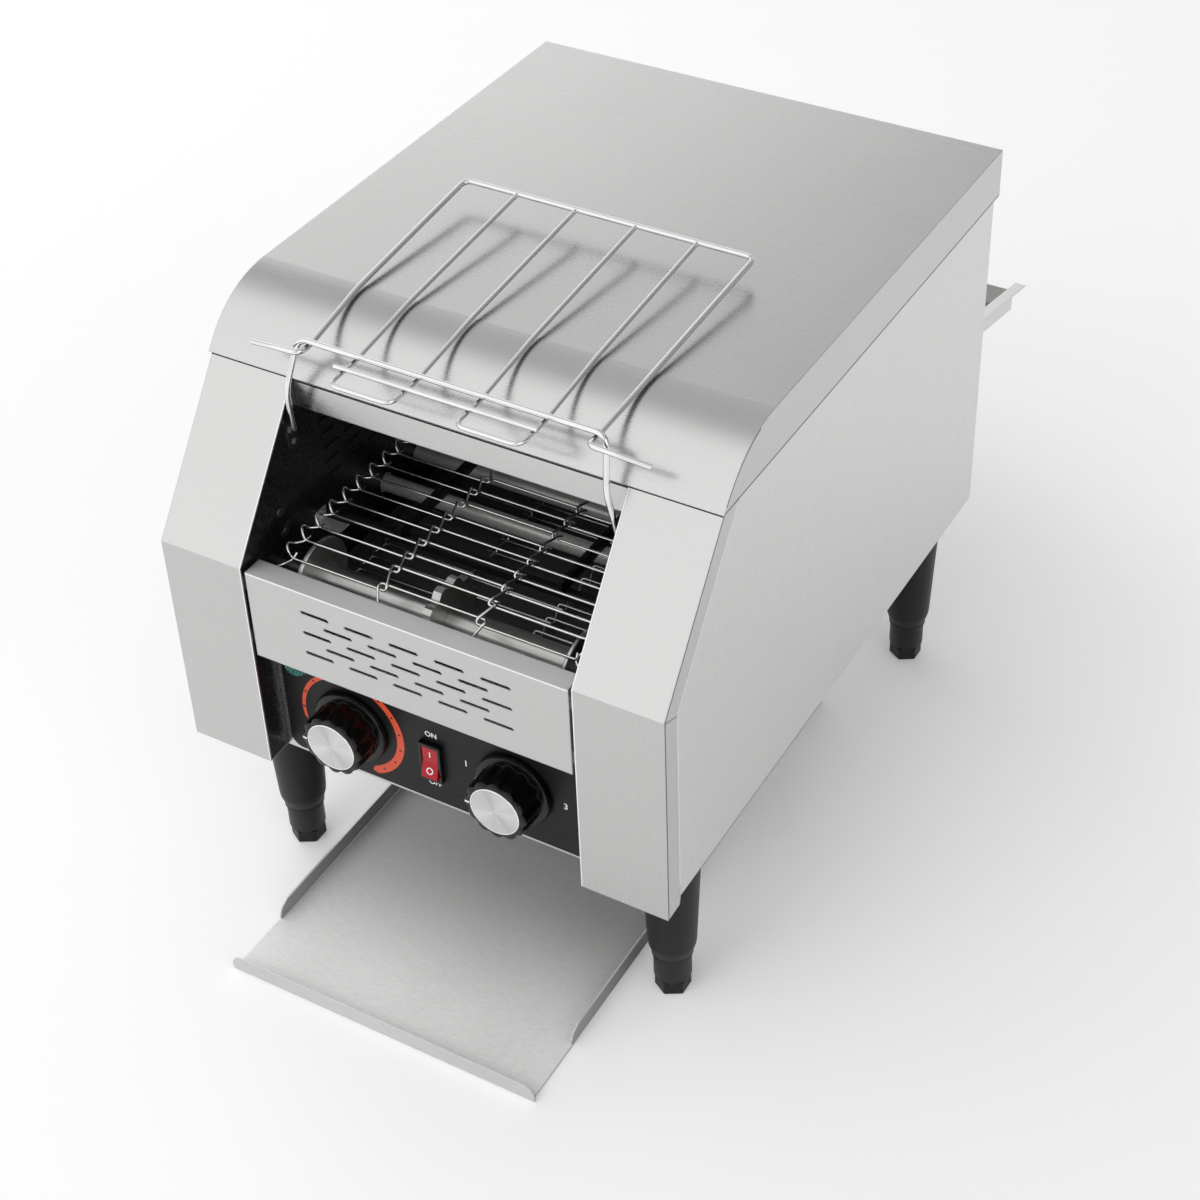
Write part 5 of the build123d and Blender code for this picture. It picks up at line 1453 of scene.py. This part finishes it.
@dataclass
class Fasteners(SubAssembly):
    """Screw heads on the walls, the rear panel, the catch tray and the base, and the walls' louvres.

    Args:
        dome: (radius, height) of a head from its seat up, as shares of its size.
        facets: Facets round a head.
        wall_heads: Y and Z of the heads on each black wall.
        wall_head: Radius and height of them.
        slot: Half length, half width and corner radius of the slanted slot in each wall.
        slot_at: Y and Z of its middle.
        slot_lean: Cosine and sine of its lean.
        slot_deep: How far its dark floor stands off the wall.
        slot_head_at: Y and Z of the head in the slot.
        slot_head: Radius and height of it.
        louvre: Half length, half height and corner radius of a louvre.
        louvre_at: Y and Z of the first one.
        louvre_step: Steps along Y and Z.
        louvres: Number of columns and rows.
        louvre_high: How far a louvre stands out of the wall.
        outer_heads: X places, other places, axis, seat, way, radius and height of the heads outside: on the
            rear panel, on the catch tray and on the base.
    """

    dome: tuple[Pair, ...] = ((1.0, 0.0), (1.0, 0.35), (0.86, 0.75), (0.55, 1.0), (0.2, 1.0), (0.2, 0.6))
    facets: int = 14
    wall_heads: tuple[Pair, ...] = ((-254.0, 312.5), (-120.0, 345.0), (40.0, 330.0))
    wall_head: Pair = (3.6, 2.0)
    slot: Point = (6.5, 2.4, 2.3)
    slot_at: Pair = (-250.0, 297.0)
    slot_lean: Pair = (0.82, 0.57)
    slot_deep: float = 0.6
    slot_head_at: Pair = (-251.5, 296.0)
    slot_head: Pair = (3.0, 1.6)
    louvre: Point = (8.0, 1.3, 1.2)
    louvre_at: Pair = (-196.0, 306.0)
    louvre_step: Pair = (24.0, 11.0)
    louvres: tuple[int, int] = (3, 6)
    louvre_high: float = 0.8
    outer_heads: tuple[tuple[tuple[int, ...], tuple[int, ...], str, float, int, float, float], ...] = (
        ((-172, -60, 60, 172), (148, 425), "Y", Size.back, 1, 3.4, 1.8),
        ((-128, 128), (238, 246), "Y", Size.back + 1.0, 1, 2.6, 1.4),
        ((-165, 165), (-60, 120), "Z", Size.body_low, -1, 3.4, 1.8))

    def head(self, shell: Shell, at: Point, axis: str, way: int, radius: float, high: float) -> None:
        """Add one domed screw head, its place given as the two coordinates of its axis and its seat."""
        *centre, seat = at
        shell.turned(centre, axis, [(radius * r, seat + way * high * h) for r, h in self.dome], self.facets)

    def walls(self) -> None:
        """Place the heads, slots and louvres of the black walls."""
        dark, ridges = Shell(), Shell()
        (long, wide, corner), (lean, rise) = self.slot, self.slot_lean
        slot = [(self.slot_at[0] + y * lean - z * rise, self.slot_at[1] + y * rise + z * lean)
                for y, z in softened(-long, long, -wide, wide, corner)]
        long, wide, corner = self.louvre
        for side in WAYS:
            wall = side * Size.wall
            for place in self.wall_heads:
                self.head(dark, (*place, wall), "X", -side, *self.wall_head)
            dark.slab(slot, "X", *span(side, Size.wall - self.slot_deep, Size.wall))
            self.head(dark, (*self.slot_head_at, side * (Size.wall - 0.5)), "X", -side, *self.slot_head)
            for column in range(self.louvres[0]):
                for row in range(self.louvres[1]):
                    y, z = (at + step * number for at, step, number
                            in zip(self.louvre_at, self.louvre_step, (column, row)))
                    ridges.slab(softened(y - long, y + long, z - wide, z + wide, corner), "X",
                                *span(side, Size.wall + 0.02, Size.wall - self.louvre_high))
        self.keep(dark.build("wall_screws"), BLACK_SCREW, "right_inner_wall")
        self.keep(ridges.build("wall_louvres"), BLACK_ENAMEL, "left_inner_wall")

    def outside(self) -> None:
        """Place the heads of the rear panel, the catch tray and the base."""
        bright = Shell()
        for places_x, others, axis, seat, way, radius, high in self.outer_heads:
            for x in places_x:
                for other in others:
                    self.head(bright, (x, other, seat), axis, way, radius, high)
        self.keep(bright.build("panel_screws"), STEEL_PLAIN, "rear_panel")

    def build(self) -> None:
        """Place all of them."""
        self.walls()
        self.outside()


# ------------------------------------------------------------------ studio
@dataclass(frozen=True)
class Softbox:
    """One area light.

    Args:
        name: Light name.
        at: Place in metres.
        aim: Point it faces in metres.
        size: Width and height in metres.
        power: Power in watts.
        mirrored: Whether the steel shows it; the tent's panels take its place in reflections.
    """

    name: str
    at: Point
    aim: Point
    size: Pair
    power: float
    mirrored: bool = True


@dataclass(frozen=True)
class Panel:
    """One soft white or grey panel of the light tent, as a round patch of the surroundings.

    Args:
        way: Direction from the set to its middle.
        full_deg: Half angle of its even part.
        fade_deg: Half angle at which it has faded out.
        level: Light that it adds, or takes away where it is negative.
    """

    way: Point
    full_deg: float
    fade_deg: float
    level: float


SOFTBOXES = (
    Softbox("key", (-2.3, 0.7, 1.9), (0.0, 0.0, 0.25), (1.8, 1.8), 15.0, False),
    Softbox("front", (-0.5, -2.2, 2.0), (0.0, -0.4, 0.0), (1.2, 1.2), 9.0, False),
    Softbox("fill", (2.4, -1.2, 1.7), (0.0, 0.0, 0.2), (1.8, 1.4), 9.0),
)
PANELS = (
    Panel((-0.70, 0.71, 0.05), 26.0, 34.0, 0.62),
    Panel((-0.45, -0.62, 0.64), 28.0, 56.0, 0.55),
    Panel((0.72, 0.62, 0.30), 16.0, 34.0, -0.34),
)


@dataclass
class Studio:
    """Pale floor, soft lights, even surroundings and the camera.

    Args:
        place: Camera place in metres.
        azimuth: Camera direction in degrees, 0 from the front.
        elevation: Camera direction in degrees, 0 from the side.
        roll: Camera roll in degrees.
        lens_mm: Focal length.
        shift: Camera shift.
        horizon: Light of the surroundings at the horizon.
        dome: Their light overhead.
        rim: Z of a direction at which they begin to go over, and where they have.
        paper_lift: Light that the floor gives off to the eye and to reflections.
        floor_half: Half the floor's side.
        floor_drop: How far it lies under the feet.
    """

    place: Point = (0.6538, -1.1281, 1.1850)
    azimuth: float = 28.73
    elevation: float = 36.77
    roll: float = 0.63
    lens_mm: float = 68.09
    shift: Pair = (-0.0742, -0.10)
    horizon: float = 0.95
    dome: float = 0.52
    rim: Pair = (0.08, 0.28)
    paper_lift: float = 0.14
    floor_half: float = 9000.0
    floor_drop: float = 0.4

    def floor(self, paint: Paint) -> None:
        """Lay the floor: paper that reads as white to the eye and in reflections, its shadow kept.

        Args:
            paint: Shared materials.
        """
        shell = Shell()
        half = self.floor_half
        shell.add([(x, y, -self.floor_drop) for x, y in rect(-half, half, -half, half)], [(0, 1, 2, 3)])
        floor = shell.build("floor")
        paint.coat(floor, FLOOR_PAPER)
        graph = NodeGraph(paint.made[FLOOR_PAPER].node_tree, keep=True)
        rays = graph.add("ShaderNodeLightPath").outputs
        seen = rays["Is Camera Ray"]
        for kind in ("Is Glossy Ray", "Is Transmission Ray"):
            seen = graph.add("ShaderNodeMath", {0: seen, 1: rays[kind]}, operation="MAXIMUM").outputs[0]
        lift = graph.add("ShaderNodeMath", {0: seen, 1: self.paper_lift}, operation="MULTIPLY").outputs[0]
        graph.tree.links.new(lift, graph.tree.nodes["Principled BSDF"].inputs["Emission Strength"])

    def lights(self) -> None:
        """Hang the softboxes."""
        for box in SOFTBOXES:
            data = bpy.data.lights.new(box.name, "AREA")
            data.shape = "RECTANGLE"
            data.size, data.size_y = box.size
            data.energy = box.power
            lamp = linked(box.name, data)
            lamp.location = box.at
            lamp.visible_glossy = box.mirrored
            aimed(lamp, Vector(box.aim) - Vector(box.at))

    def surroundings(self) -> None:
        """Wrap the set in a pale tent whose panels the steel reflects."""
        world = bpy.data.worlds.new("studio")
        world.use_nodes = True
        bpy.context.scene.world = world
        graph = NodeGraph(world.node_tree)
        coords = graph.add("ShaderNodeTexCoord").outputs["Generated"]
        height = graph.add("ShaderNodeSeparateXYZ", {"Vector": coords}).outputs["Z"]
        total = graph.add("ShaderNodeMapRange", {
            "Value": height, "From Min": self.rim[0], "From Max": self.rim[1], "To Min": self.horizon,
            "To Max": self.dome}, interpolation_type="SMOOTHSTEP").outputs["Result"]
        for panel in PANELS:
            towards = graph.add("ShaderNodeVectorMath", {0: coords, 1: Vector(panel.way).normalized()},
                                operation="DOT_PRODUCT").outputs["Value"]
            patch = graph.add("ShaderNodeMapRange", {
                "Value": towards, "From Min": math.cos(math.radians(panel.fade_deg)),
                "From Max": math.cos(math.radians(panel.full_deg)), "To Min": 0.0, "To Max": panel.level},
                interpolation_type="SMOOTHSTEP").outputs["Result"]
            total = graph.add("ShaderNodeMath", {0: total, 1: patch}, operation="ADD").outputs[0]
        shade = graph.add("ShaderNodeBackground", {"Color": (1.0, 1.0, 1.0, 1.0), "Strength": total})
        graph.add("ShaderNodeOutputWorld", {"Surface": shade.outputs["Background"]})

    def camera(self) -> None:
        """Set the camera."""
        data = bpy.data.cameras.new("camera")
        data.sensor_width = 36.0
        data.lens = self.lens_mm
        data.shift_x, data.shift_y = self.shift
        data.clip_start, data.clip_end = 0.05, 60.0
        cam = linked("camera", data)
        a, e = math.radians(self.azimuth), math.radians(self.elevation)
        way = Vector((-math.sin(a) * math.cos(e), math.cos(a) * math.cos(e), -math.sin(e)))
        aimed(cam, way, math.radians(-self.roll))
        cam.location = self.place
        bpy.context.scene.camera = cam

    def build(self, paint: Paint) -> None:
        """Set up the whole studio.

        Args:
            paint: Shared materials.
        """
        self.floor(paint)
        self.lights()
        self.surroundings()
        self.camera()
        bpy.context.scene.view_settings.view_transform = "Standard"


# ------------------------------------------------------------------ assembly
def finish_nodes(nodes: dict[str, bpy.types.Object], paint: Paint) -> None:
    """Give every CAD node its finish and smooth its curved faces.

    Args:
        nodes: CAD nodes by name.
        paint: Shared materials.
    """
    for name, obj in nodes.items():
        obj.data.shade_smooth()
        obj.data.set_sharp_from_angle(angle=math.radians(NODE_SMOOTH_DEG))
        paint.coat(obj, NODE_FINISH[name])


def main() -> None:
    """Build the toaster's looks and report its pieces."""
    logging.basicConfig(level=logging.INFO, format="%(name)s: %(message)s")
    for obj in list(bpy.data.objects):
        bpy.data.objects.remove(obj)
    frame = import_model()
    paint = Paint()
    finish_nodes(frame["nodes"], paint)
    knobs = [Knob(paint, kind=kind, x=way * Size.knob_x) for kind, way in (("speed", -1), ("selector", 1))]
    for assembly in (Belt(paint), Rack(paint), Rollers(paint), Rails(paint), Heaters(paint), Legs(paint),
                     Gland(paint), *knobs, ControlFace(paint), Seams(paint), Fasteners(paint)):
        assembly.build()
        LOG.info("%s: %s", type(assembly).__name__, ", ".join(assembly.made))
    Studio().build(paint)


if __name__ == "__main__":
    main()
